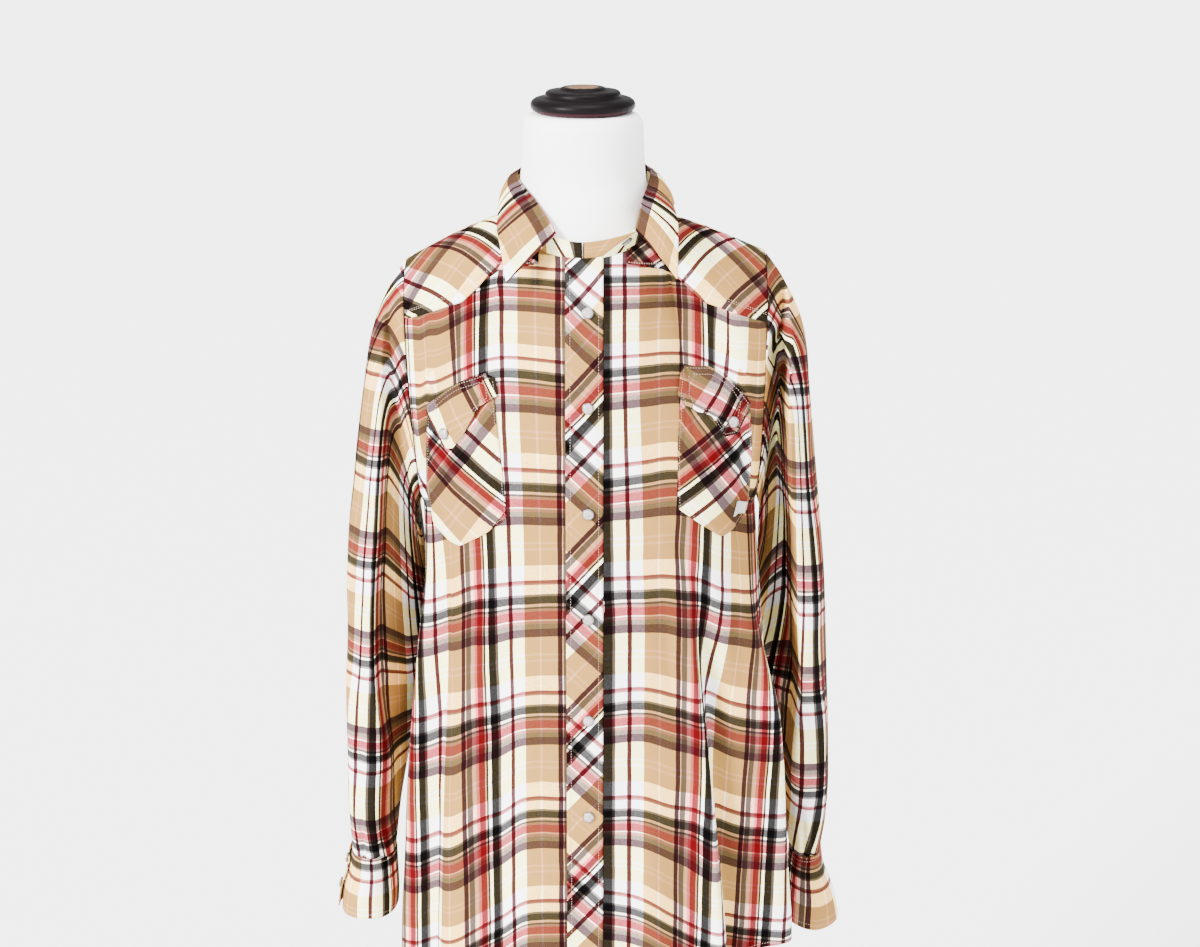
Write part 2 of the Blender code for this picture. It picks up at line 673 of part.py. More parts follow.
def sleeve_point(turn, position, side):
    """A point of the sleeve; position counts down the rows of its table."""
    rows = SLEEVE_ROWS[side]
    sign = 1.0 if side == "left" else -1.0
    get = {name: row_at(rows, position, name) for name in rows[0]}
    across = math.cos(math.radians(turn))
    along = math.sin(math.radians(turn))
    power = 2.0 / SLEEVE_ROUNDNESS
    across_out = math.copysign(abs(across) ** power, across)
    mid_x = (get["outer_x"] + get["inner_x"]) / 2.0
    mid_z = (get["outer_z"] + get["inner_z"]) / 2.0
    x = mid_x + (get["outer_x"] - get["inner_x"]) / 2.0 * across_out
    z = mid_z + (get["outer_z"] - get["inner_z"]) / 2.0 * across_out
    deep = abs(along) ** power
    dip = GROOVE_DEPTH * math.exp(-(((across_out - GROOVE_AT) / GROOVE_WIDTH) ** 2))
    dip += INNER_LOBE_BACK * smooth(-across_out, -GROOVE_AT, 0.6)
    if along >= 0.0:
        y = get["middle"] - get["front"] * deep * (1.0 - get["groove"] * dip)
    else:
        y = get["middle"] + get["back"] * deep * (1.0 - 0.5 * get["groove"] * dip)
    y += get["tuck"] * smooth(-across_out)
    made = np.array([sign * x, y, z])
    if position < 1.0:
        edge = armhole_point(turn, side) + np.array([sign * SLEEVE_SEAM, 0.0, 0.0])
        made = edge + (made - edge) * smooth(position)
    return made


def make_sleeve(side, collection):
    rows_count = len(SLEEVE_ROWS[side]) - 1
    name = "sleeve_" + side
    rows = []
    for step in range(SLEEVE_STEPS + 1):
        position = rows_count * step / SLEEVE_STEPS
        rows.append([sleeve_point(turn, position, side) for turn in SLEEVE_TURNS])
    centres = {round(float(np.mean([p[2] for p in row])), 3): np.mean(row, axis=0) for row in rows}

    def outward(point):
        nearest = min(centres.values(), key=lambda c: abs(c[2] - point[2]))
        return (point[0] - nearest[0], point[1] - nearest[1], 0.0)

    mesh = grid_mesh(name, rows, wrap=True, outward=outward)
    return give_wall(add_object(name, mesh, "flannel", collection))


def cuff_point(share, down, side, lift=0.0):
    """A point of the cuff band: share runs from its inner end to its outer end."""
    rows = CUFF_ROWS[side]
    sign = 1.0 if side == "left" else -1.0
    position = down * (len(rows) - 1)
    get = {name: row_at(rows, position, name) for name in rows[0]}
    turn = math.radians(CUFF_OPEN_AT[side] + share * (360.0 + CUFF_LAP))
    lap_share = CUFF_LAP / (360.0 + CUFF_LAP)
    out = lift + 0.0026 * smooth(share, 1.0 - 2.2 * lap_share, 1.0 - lap_share)
    return np.array([
        sign * get["x"] + (get["half_x"] + out) * math.cos(turn),
        get["y"] + (get["half_y"] + out) * math.sin(turn),
        get["z"],
    ])


def make_cuff(side, collection):
    name = "cuff_" + side
    rows = [[cuff_point(i / CUFF_STEPS, down / 3.0, side) for i in range(CUFF_STEPS + 1)]
            for down in range(4)]
    centre_x = float(np.mean([p[0] for row in rows for p in row]))
    centre_y = float(np.mean([p[1] for row in rows for p in row]))
    mesh = grid_mesh(name, rows, outward=lambda p: (p[0] - centre_x, p[1] - centre_y, 0.0))
    return give_wall(add_object(name, mesh, "flannel", collection))


# ---------------------------------------------------------------- collar


def neckline_point(position):
    """The neckline from the wearer's right front end, round the back, to their left front end."""
    turns = 90.0 * NECK_SHARE
    if position < 0.25:
        return top_point(-turns * position * 4.0, "front")
    if position < 0.5:
        return top_point(-turns * (2.0 - position * 4.0), "back")
    if position < 0.75:
        return top_point(turns * (position * 4.0 - 2.0), "back")
    return top_point(turns * (4.0 - position * 4.0), "front")


def collar_curve(position, names):
    last = len(COLLAR_STATIONS) - 1
    return np.array([row_at(COLLAR_STATIONS, position * last, name) for name in names])


def stand_point(share, up):
    """A point of the collar stand: share runs round the neck, up from its foot to its head."""
    foot = neckline_point(share) * np.array([STAND_FOOT_IN, STAND_FOOT_IN, 1.0])
    foot[2] += LAYER + 0.0004
    head = collar_curve(share, FOLD_LINE)
    head[2] -= STAND_UNDER_LEAF + 0.0016 * smooth(abs(share - 0.5), 0.36, 0.46)
    return foot + (head - foot) * up


def make_collar(collection):
    ends = STAND_ENDS
    steps = [ends[0] + (ends[1] - ends[0]) * i / COLLAR_STEPS for i in range(COLLAR_STEPS + 1)]
    stand_rows = [[stand_point(share, up) for share in steps] for up in (0.0, 0.5, 1.0)]
    mesh = grid_mesh("collar_stand", stand_rows, outward=away_from_axis)
    give_wall(add_object("collar_stand", mesh, "flannel", collection))
    leaf_rows = []
    for down in (-0.10, 0.0, 0.12, 0.40, 0.70, 1.0):
        row = []
        for i in range(COLLAR_STEPS + 1):
            share = i / COLLAR_STEPS
            head = collar_curve(share, FOLD_LINE)
            foot = collar_curve(share, EDGE_LINE)
            away = unit(np.array([head[0], head[1], 0.0]))
            if down < 0.0:
                row.append(head - away * 0.0012 + np.array([0.0, 0.0, 0.0006]))
                continue
            roll = away * (0.0045 * smooth(down, 0.0, 0.15))
            bulge = away * LEAF_BULGE * math.sin(math.pi * down)
            row.append(head + (foot - head) * down + roll * (1.0 - down) + bulge)
        leaf_rows.append(row)
    mesh = grid_mesh("collar_leaf", leaf_rows, outward=away_from_axis)
    give_wall(add_object("collar_leaf", mesh, "flannel", collection))


# ---------------------------------------------------------------- snaps


def turned(name, profile, segments, finish, collection):
    """A solid turned about Z; the profile runs from the top of the axis out and down."""
    mesh = bpy.data.meshes.new(name)
    mesh.from_pydata([(r, 0.0, z) for r, z in profile], [(i, i + 1) for i in range(len(profile) - 1)], [])
    obj = add_object(name, mesh, finish, collection)
    screw = obj.modifiers.new("turn", "SCREW")
    screw.steps = segments
    screw.render_steps = segments
    screw.use_merge_vertices = True
    screw.merge_threshold = 0.00001
    screw.use_smooth_shade = True
    return obj


def make_snap(name, seat, normal, collection):
    """A pearl snap cap: a low dome turned about its post, seated flat on the cloth."""
    r, h = SNAP_RADIUS, SNAP_HEIGHT
    profile = [(0.0, h), (0.55 * r, 0.94 * h), (0.88 * r, 0.66 * h), (r, 0.30 * h), (0.9 * r, 0.0), (0.0, 0.0)]
    snap = turned(name, profile, SNAP_SEGMENTS, "pearl", collection)
    snap.location = seat
    snap.rotation_mode = "QUATERNION"
    snap.rotation_quaternion = Vector((0.0, 0.0, 1.0)).rotation_difference(Vector(normal))
    return snap


def snap_on_front(name, x, z, layers, puff, collection):
    """A snap on the front, above a number of layers of cloth."""
    angle, level = place_on_front(x, z)
    normal = body_normal(angle, level, "front")
    seat = body_point(angle, level, "front") + normal * (layers * LAYER + puff + SNAP_SEAT)
    make_snap(name, seat, normal, collection)


def make_snaps(collection):
    share, up = COLLAR_SNAP_AT
    across = stand_point(share + 0.014, up) - stand_point(share - 0.014, up)
    normal = unit(np.cross(stand_point(share, up + 0.28) - stand_point(share, up - 0.28), across))
    make_snap("snap_collar", stand_point(share, up) + normal * COLLAR_SNAP_SEAT, normal, collection)
    for number, z in enumerate(FRONT_SNAPS_Z, 1):
        snap_on_front("snap_front_%d" % number, FRONT_SNAP_X, z, 1, 0.0, collection)
    for side, (x, z) in FLAP_SNAPS.items():
        lift = puffed(as_points(POCKET[side]), 0, POCKET_PUFF)(x, z)
        lift += puffed(as_points(FLAP[side]), 0, FLAP_PUFF)(x, z) - GAP
        snap_on_front("snap_flap_" + side, x, z, 2, lift - GAP, collection)
    for side in ("right", "left"):
        for number, (down, seat_height) in enumerate(CUFF_SNAPS, 1):
            share = 1.0 - 0.5 * CUFF_LAP / (360.0 + CUFF_LAP)
            point = cuff_point(share, down, side)
            across = cuff_point(share + 0.01, down, side) - cuff_point(share - 0.01, down, side)
            along = cuff_point(share, down - 0.05, side) - cuff_point(share, down + 0.05, side)
            normal = unit(np.cross(across, along))
            seat = point + normal * seat_height
            make_snap("snap_cuff_%s_%d" % (side, number), seat, normal, collection)


# ---------------------------------------------------------------- dress form and stand


def form_low_ring(z, angles):
    """A ring of the torso below the armhole, flattened a little at each side."""
    ring = []
    for face, order in (("front", angles), ("back", angles[::-1])):
        for angle in order:
            turn = math.radians(abs(angle) * FORM_SIDE_FLAT)
            x = math.copysign(read(FORM_RINGS, "z", z, "wide") * math.sin(turn), angle)
            y = read(FORM_RINGS, "z", z, face) * math.cos(turn)
            ring.append(np.array([x, -y if face == "front" else y, z]))
    return ring


def form_high_ring(level, angles):
    """A ring of the torso inside the shirt's chest and shoulders, cut flat at the arms."""
    inset = WALL + FORM_CLEAR + FORM_EASE * (1.0 - smooth(level, 1.0, 1.90))
    ring = []
    for face, order in (("front", angles), ("back", angles[::-1])):
        for angle in order:
            point = plain_point(angle, level, face)
            normal = surface_normal(lambda a, v, face=face: plain_point(a, v, face), angle, level, face)
            if level >= 2.0 and abs(angle) >= 90.0 * NECK_SHARE - 0.1:
                normal = np.array([0.0, 0.0, 1.0])
                point[1] = 0.0
            point = point - normal * inset
            if level >= 2.0 and abs(angle) < 90.0 * NECK_SHARE + 0.1:
                point[:2] *= FORM_NECK_FOOT
            point[0] *= 1.0 - FORM_ARM_SHORT * smooth(abs(angle), 54.0, 90.0)
            ring.append(point)
    return ring


def neck_ring(radius, z, angles):
    ring = []
    for sign, order in ((-1.0, angles), (1.0, angles[-2:0:-1])):
        for angle in order:
            turn = math.radians(angle / NECK_SHARE)
            ring.append(np.array([radius * math.sin(turn), sign * radius * math.cos(turn), z]))
    return ring


def make_form(collection):
    """A smooth limbless torso that fills the shirt's shoulders, with a round neck."""
    angles = columns(-90.0, 90.0, FORM_STEP)
    neck = [i for i, a in enumerate(angles) if abs(a) <= 90.0 * NECK_SHARE + 0.1]
    rings = [form_low_ring(row["z"], angles) for row in FORM_RINGS]
    rings += [form_high_ring(1.0 + row / HIGH_ROWS, angles) for row in FORM_LEVEL_ROWS]
    bm = bmesh.new()
    verts = [[bm.verts.new(point) for point in ring] for ring in rings]
    count = len(verts[0])
    for low, high in zip(verts, verts[1:]):
        for i in range(count):
            j = (i + 1) % count
            bm.faces.new((low[i], low[j], high[j]))
            bm.faces.new((low[i], high[j], high[i]))
    bm.faces.new(verts[0][::-1])
    neck_loop = [verts[-1][i] for i in neck] + [verts[-1][count - 1 - i] for i in neck[-2:0:-1]]
    neck_angles = [angles[i] for i in neck]
    for radius, z in NECK_RINGS:
        ring = [bm.verts.new(point) for point in neck_ring(radius, z, neck_angles)]
        for i in range(len(ring)):
            j = (i + 1) % len(ring)
            bm.faces.new((neck_loop[i], neck_loop[j], ring[j], ring[i]))
        neck_loop = ring
    bm.faces.new(neck_loop)
    bmesh.ops.remove_doubles(bm, verts=bm.verts, dist=1e-5)
    bmesh.ops.recalc_face_normals(bm, faces=bm.faces)
    mesh = bpy.data.meshes.new("form_torso")
    bm.to_mesh(mesh)
    bm.free()
    obj = add_object("form_torso", mesh, "form_cloth", collection)
    mesh.set_sharp_from_angle(angle=math.radians(50.0))
    return obj


def make_stand(collection):
    """A turned black cap on the neck, and a pole on a round weighted base."""
    cap_foot = NECK_TOP_Z + GAP
    profile = [(r, cap_foot + h) for r, h in CAP_PROFILE]
    turned("form_cap", profile, 24, "black_wood", collection)
    bpy.ops.mesh.primitive_cylinder_add(
        vertices=24, radius=POLE_RADIUS, depth=FORM_BOTTOM_Z - BASE_HEIGHT - 2 * GAP,
        location=(0.0, 0.0, (FORM_BOTTOM_Z + BASE_HEIGHT) / 2.0))
    pole = bpy.context.object
    profile = [(0.0, BASE_HEIGHT), (0.60 * BASE_RADIUS, BASE_HEIGHT * 0.93),
               (0.93 * BASE_RADIUS, BASE_HEIGHT * 0.62), (BASE_RADIUS, BASE_HEIGHT * 0.36),
               (BASE_RADIUS, 0.0), (0.0, 0.0)]
    turned("form_base", profile, 32, "black_metal", collection)
    for scene_collection in list(pole.users_collection):
        scene_collection.objects.unlink(pole)
    collection.objects.link(pole)
    pole.name = pole.data.name = "form_pole"
    pole.data.materials.append(material("black_metal"))
    pole.data.shade_smooth()
    pole.data.set_sharp_from_angle(angle=math.radians(40.0))


def main():
    clear_scene()
    parts = bpy.data.collections.new("western_snap_shirt_on_dress_form")
    cutters = bpy.data.collections.new("cutters")
    for collection in (parts, cutters):
        bpy.context.scene.collection.children.link(collection)
    angles_front, angles_back = make_panels(parts)
    make_yokes(angles_front, angles_back, parts, cutters)
    make_placket(angles_front, parts, cutters)
    make_pockets(angles_front, parts, cutters)
    for side in ("right", "left"):
        make_sleeve(side, parts)
        make_cuff(side, parts)
    make_collar(parts)
    make_snaps(parts)
    make_form(parts)
    make_stand(parts)


main()
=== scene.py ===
"""Looks of the western snap shirt on its dress form: plaid flannel, pearl snaps, white form, black stand."""

import math

import bmesh
import bpy
import numpy as np
from mathutils import Matrix, Vector


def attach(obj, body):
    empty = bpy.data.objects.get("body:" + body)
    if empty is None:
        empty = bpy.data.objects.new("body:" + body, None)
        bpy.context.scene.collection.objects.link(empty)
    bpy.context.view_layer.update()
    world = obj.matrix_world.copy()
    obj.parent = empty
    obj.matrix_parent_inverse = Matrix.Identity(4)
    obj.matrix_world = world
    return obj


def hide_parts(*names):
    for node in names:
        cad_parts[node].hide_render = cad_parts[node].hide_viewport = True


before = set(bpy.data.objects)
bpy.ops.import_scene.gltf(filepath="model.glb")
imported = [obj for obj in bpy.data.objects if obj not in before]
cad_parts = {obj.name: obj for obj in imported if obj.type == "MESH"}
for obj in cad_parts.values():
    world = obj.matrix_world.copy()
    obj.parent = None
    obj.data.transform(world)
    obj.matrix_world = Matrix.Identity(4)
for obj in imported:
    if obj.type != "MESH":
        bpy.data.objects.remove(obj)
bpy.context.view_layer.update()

# ---------------------------------------------------------------- the flannel
# A brushed cotton plaid in cream, tan, red and charcoal. Warp and weft have nearly the
# same stripes, and each crossing shows both yarns about equally.

PLAID_WIDE = 0.0985           # one repeat across, in metres of cloth
PLAID_LONG = 0.1100           # one repeat down


def table(columns, rows):
    """Rows of numbers as one array for each name in columns."""
    return dict(zip(columns.split(), np.array(rows, dtype=float).T))


# One repeat of the stripes: where each starts (share of the repeat) and its yarn. A yarn is
# its colour as it looks and how strongly it shows through the yarn that it crosses.
YARNS = {
    "charcoal": (0.080, 0.066, 0.068, 1.80), "white": (1.157, 1.157, 1.157, 1.00),
    "grey": (0.440, 0.400, 0.400, 1.25), "wine": (0.440, 0.190, 0.225, 1.80),
    "rose": (0.620, 0.200, 0.250, 1.60), "tan": (0.895, 0.805, 0.560, 1.00),
    "ivory": (0.950, 0.870, 0.780, 1.00), "plum": (0.310, 0.145, 0.170, 1.95),
    "fawn": (0.470, 0.390, 0.340, 1.50), "olive": (0.430, 0.350, 0.260, 1.20),
    "cream": (0.900, 0.800, 0.730, 1.00), "blush": (0.670, 0.430, 0.390, 1.30),
    "pink": (0.860, 0.480, 0.520, 1.00), "red": (0.640, 0.110, 0.150, 1.55),
    "ink": (0.240, 0.180, 0.170, 1.60),
}
SETT = [
    (0.000, "charcoal"), (0.067, "grey"), (0.096, "white"), (0.212, "wine"), (0.254, "white"),
    (0.377, "tan"), (0.520, "ivory"), (0.540, "tan"), (0.698, "plum"), (0.744, "ivory"),
    (0.751, "fawn"), (0.806, "cream"), (0.846, "pink"), (0.872, "red"), (0.930, "cream"),
    (0.943, "ink"), (0.962, "white"), (0.994, "charcoal"),
]
WEFT_SETT = [
    (0.000, "charcoal"), (0.065, "cream"), (0.087, "ink"), (0.106, "blush"), (0.132, "red"),
    (0.204, "cream"), (0.218, "blush"), (0.246, "olive"), (0.286, "plum"), (0.360, "tan"),
    (0.512, "ivory"), (0.534, "tan"), (0.568, "ivory"), (0.587, "tan"), (0.722, "white"),
    (0.852, "rose"), (0.880, "blush"), (0.896, "white"), (0.980, "grey"),
]
WARP_SHOWS = 1.5              # the warp lies more on the face than the weft does
TWILL_PITCH = 0.0011          # from one diagonal rib of the 2/2 twill to the next
WOBBLE = 0.0016               # how far the yarns stray from straight
LOOK_SCALE = 0.93
LOOK_TO_CLOTH = [(0.0, 0.0), (0.09, 0.030), (0.20, 0.076), (0.38, 0.158), (0.50, 0.222), (0.62, 0.300),
                 (0.72, 0.390), (0.80, 0.504), (0.863, 0.653), (0.91, 0.83), (0.94, 0.945), (1.0, 0.955)]


def feed(tree, value, socket):
    """Links an output to the socket, or sets the socket to a constant."""
    if isinstance(value, bpy.types.NodeSocket):
        tree.links.new(value, socket)
    else:
        socket.default_value = value


def add_node(tree, kind, **inputs):
    """A shader node with its named inputs fed; From_Min stands for the input From Min."""
    made = tree.nodes.new("ShaderNode" + kind)
    for name, value in inputs.items():
        feed(tree, value, made.inputs[name.replace("_", " ")])
    return made


def calc(tree, kind, *values):
    """What a Math node makes of sockets or plain numbers."""
    made = tree.nodes.new("ShaderNodeMath")
    made.operation = kind
    for value, socket in zip(values, made.inputs):
        feed(tree, value, socket)
    return made.outputs[0]


def mixed(tree, share, first, second, kind="MIX"):
    """A Mix node from the first colour to the second."""
    made = tree.nodes.new("ShaderNodeMix")
    made.data_type = "RGBA"
    made.blend_type = kind
    for name, value in (("Factor", share), ("A", first), ("B", second)):
        feed(tree, value, made.inputs[name])
    return made


def shades(tree, share, first, last, start=0.0, end=1.0):
    """A colour ramp from the first colour at start to the last at end."""
    ramp = add_node(tree, "ValToRGB", Fac=share)
    for stop, at, colour in zip(ramp.color_ramp.elements, (start, end), (first, last)):
        stop.position = at
        stop.color = (*colour, 1.0)
    return ramp.outputs["Color"]


def stripes(tree, position, sett):
    """A colour ramp with hard steps over one repeat; alpha holds the yarn's weight / 4."""
    ramp = add_node(tree, "ValToRGB", Fac=position)
    ramp.color_ramp.interpolation = "CONSTANT"
    stops = ramp.color_ramp.elements
    stops.remove(stops[-1])
    for number, (start, yarn) in enumerate(sett):
        stop = stops.new(start) if number else stops[0]
        stop.position = start
        red, green, blue, weight = YARNS[yarn]
        stop.color = (red, green, blue, weight / 4.0)
    return ramp


def new_material(name, **values):
    """A material with its shader's values set; gives back its tree and its shader too."""
    made = bpy.data.materials.new(name)
    made.use_nodes = True
    shader = made.node_tree.nodes["Principled BSDF"]
    for key, value in values.items():
        shader.inputs[key.replace("_", " ")].default_value = value
    return made, made.node_tree, shader


def flannel_group():
    """Shader group: cloth UV in metres -> woven colour, and a height for nap and weave."""
    tree = bpy.data.node_groups.new("plaid_flannel", "ShaderNodeTree")
    for name, way, kind in (("Cloth", "INPUT", "Vector"), ("Place", "INPUT", "Vector"),
                            ("Colour", "OUTPUT", "Color"), ("Height", "OUTPUT", "Float")):
        tree.interface.new_socket(name, in_out=way, socket_type="NodeSocket" + kind)
    given = tree.nodes.new("NodeGroupInput").outputs
    out = tree.nodes.new("NodeGroupOutput").inputs

    def noise(scale, detail):
        return add_node(tree, "TexNoise", Vector=given["Place"], Scale=scale, Detail=detail).outputs["Fac"]

    shift = calc(tree, "MULTIPLY", calc(tree, "SUBTRACT", noise(38.0, 2.0), 0.5), WOBBLE)
    flat = add_node(tree, "SeparateXYZ", Vector=given["Cloth"]).outputs
    across = calc(tree, "DIVIDE", calc(tree, "ADD", flat["X"], shift), PLAID_WIDE)
    down = calc(tree, "MULTIPLY", calc(tree, "SUBTRACT", flat["Y"], shift), -1.0)
    warp = stripes(tree, calc(tree, "FRACT", across), SETT).outputs
    weft = stripes(tree, calc(tree, "FRACT", calc(tree, "DIVIDE", down, PLAID_LONG)), WEFT_SETT).outputs

    # The twill's ribs favour warp and weft in turn, and the fuzz a little of either.
    rib = calc(tree, "DIVIDE", calc(tree, "ADD", flat["X"], flat["Y"]), TWILL_PITCH)
    rib = calc(tree, "ABSOLUTE", calc(tree, "SUBTRACT", calc(tree, "FRACT", rib), 0.5))
    fuzz = noise(900.0, 3.0)
    by_rib = calc(tree, "MULTIPLY", calc(tree, "SUBTRACT", rib, 0.25), 0.5)
    by_fuzz = calc(tree, "MULTIPLY", calc(tree, "SUBTRACT", fuzz, 0.5), 0.35)
    both = calc(tree, "ADD", weft["Alpha"], calc(tree, "MULTIPLY", warp["Alpha"], WARP_SHOWS))
    shown = calc(tree, "ADD", calc(tree, "DIVIDE", weft["Alpha"], both), calc(tree, "ADD", by_rib, by_fuzz))
    shown.node.use_clamp = True
    woven = mixed(tree, shown, warp["Color"], weft["Color"])

    # Pale fibres of the nap lie over the dark yarns.
    fleck = add_node(tree, "MapRange", Value=noise(1500.0, 2.0), From_Min=0.56, From_Max=0.80, To_Max=0.12)
    fibres = mixed(tree, fleck.outputs["Result"], woven.outputs["Result"], (0.62, 0.57, 0.50, 1.0))
    # How it looks under bright lamps -> how much light the cloth gives back.
    dim = mixed(tree, 1.0, fibres.outputs["Result"], (LOOK_SCALE, LOOK_SCALE, LOOK_SCALE, 1.0), "MULTIPLY")
    dim.clamp_result = True
    lamps = add_node(tree, "RGBCurve", Color=dim.outputs["Result"])
    points = lamps.mapping.curves[3].points
    points[0].location, points[1].location = LOOK_TO_CLOTH[0], LOOK_TO_CLOTH[-1]
    for place in LOOK_TO_CLOTH[1:-1]:
        points.new(*place)
    lamps.mapping.update()
    linear = add_node(tree, "Gamma", Color=lamps.outputs["Color"], Gamma=2.2)
    feed(tree, linear.outputs["Color"], out["Colour"])
    feed(tree, calc(tree, "ADD", calc(tree, "MULTIPLY", rib, 0.5), fuzz), out["Height"])
    return tree


FLANNEL, tree, shader = new_material("plaid_flannel", Roughness=0.92, Specular_IOR_Level=0.03)
cloth_map = add_node(tree, "UVMap")
cloth_map.uv_map = "cloth"
weave = tree.nodes.new("ShaderNodeGroup")
weave.node_tree = flannel_group()
feed(tree, cloth_map.outputs["UV"], weave.inputs["Cloth"])
feed(tree, add_node(tree, "TexCoord").outputs["Object"], weave.inputs["Place"])
bump = add_node(tree, "Bump", Strength=0.35, Distance=0.0006, Height=weave.outputs["Height"])
feed(tree, weave.outputs["Colour"], shader.inputs["Base Color"])
feed(tree, bump.outputs["Normal"], shader.inputs["Normal"])

# ---------------------------------------------------------------- fronts and back
# Three panels of the flannel, sewn at the shoulders and sides, that hang from the form's
# shoulders. The rings give the body's size and the folds are those that gravity pulls in it.

SIGN = {"right": -1.0, "left": 1.0}     # the wearer's left is at +x
OUT = {"front": -1.0, "back": 1.0}      # the front faces -y
CLOTH = 0.0008                # a single thickness of flannel
ARMPIT_Z = 1.120
ROUNDNESS = 2.4
HEM_CENTRE_Z = {"front": 0.600, "back": 0.590}
HEM_LEFT_Z, HEM_RIGHT_Z = 0.668, 0.615
NECK_HALF_WIDTH = 0.072
NECK_DEPTH = {"front": 0.086, "back": 0.066}
NECK_CENTRE_Z = {"front": 1.372, "back": 1.408}
NECK_POINT_Z = 1.398
NECK_SHARE = 0.40
TIP_LEFT, TIP_RIGHT = (0.173, 1.362), (0.169, 1.354)
SEAM_SLIT = 0.0006
CHEST_RISE = 0.120
ARMHOLE_BOW = {"front": 0.085, "back": 0.080}

BODY_RINGS = table("z left right front back", [
    (0.560, 0.192, 0.192, 0.139, 0.128),
    (0.690, 0.194, 0.187, 0.138, 0.126),
    (0.760, 0.192, 0.182, 0.136, 0.122),
    (0.840, 0.188, 0.177, 0.134, 0.118),
    (0.910, 0.184, 0.170, 0.132, 0.115),
    (0.980, 0.179, 0.163, 0.131, 0.114),
    (1.050, 0.173, 0.157, 0.130, 0.115),
    (1.120, 0.168, 0.157, 0.127, 0.117),
])
# How the cloth leaves its top edge: at a share of the way round, how far out and down it heads.
REACH = {
    "front": table("share out down", [
        (0.00, 0.024, 0.046), (0.20, 0.034, 0.034), (0.40, 0.056, 0.006),
        (0.70, 0.078, 0.001), (1.00, 0.064, 0.034),
    ]),
    "back": table("share out down", [
        (0.00, 0.030, 0.030), (0.20, 0.040, 0.024), (0.40, 0.056, 0.006),
        (0.70, 0.072, 0.001), (1.00, 0.064, 0.034),
    ]),
}
# Folds: top and bottom height, degrees round from the middle there, width, and height.
FOLDS = {
    "front": table("top bottom top_at bottom_at width height", [
        (1.100, 0.560, 28.0, 43.0, 5.0, 0.013),
        (1.100, 0.560, 35.0, 52.0, 5.5, -0.016),
        (1.060, 0.600, 60.0, 70.0, 9.5, 0.030),
        (0.900, 0.560, 14.0, 18.0, 6.0, 0.006),
        (1.000, 0.560, -12.0, -10.0, 6.5, 0.004),
        (1.080, 0.560, -25.0, -24.0, 7.0, -0.007),
        (1.060, 0.560, -40.0, -39.0, 7.0, 0.007),
        (1.180, 0.600, -58.0, -52.0, 5.5, -0.009),
        (1.150, 0.560, -70.0, -67.0, 7.0, 0.009),
        (1.250, 1.000, 66.0, 58.0, 7.0, -0.006),
    ]),
    "back": table("top bottom top_at bottom_at width height", [
        (1.240, 0.560, -54.0, -44.0, 7.5, 0.012),
        (1.240, 0.560, -32.0, -26.0, 7.5, -0.010),
        (1.240, 0.560, -12.0, -9.0, 7.5, 0.007),
        (1.240, 0.560, 10.0, 12.0, 7.5, -0.008),
        (1.240, 0.560, 30.0, 29.0, 8.0, 0.011),
        (1.200, 0.560, 50.0, 47.0, 7.5, -0.010),
        (1.100, 0.560, 68.0, 66.0, 8.0, 0.004),
    ]),
}
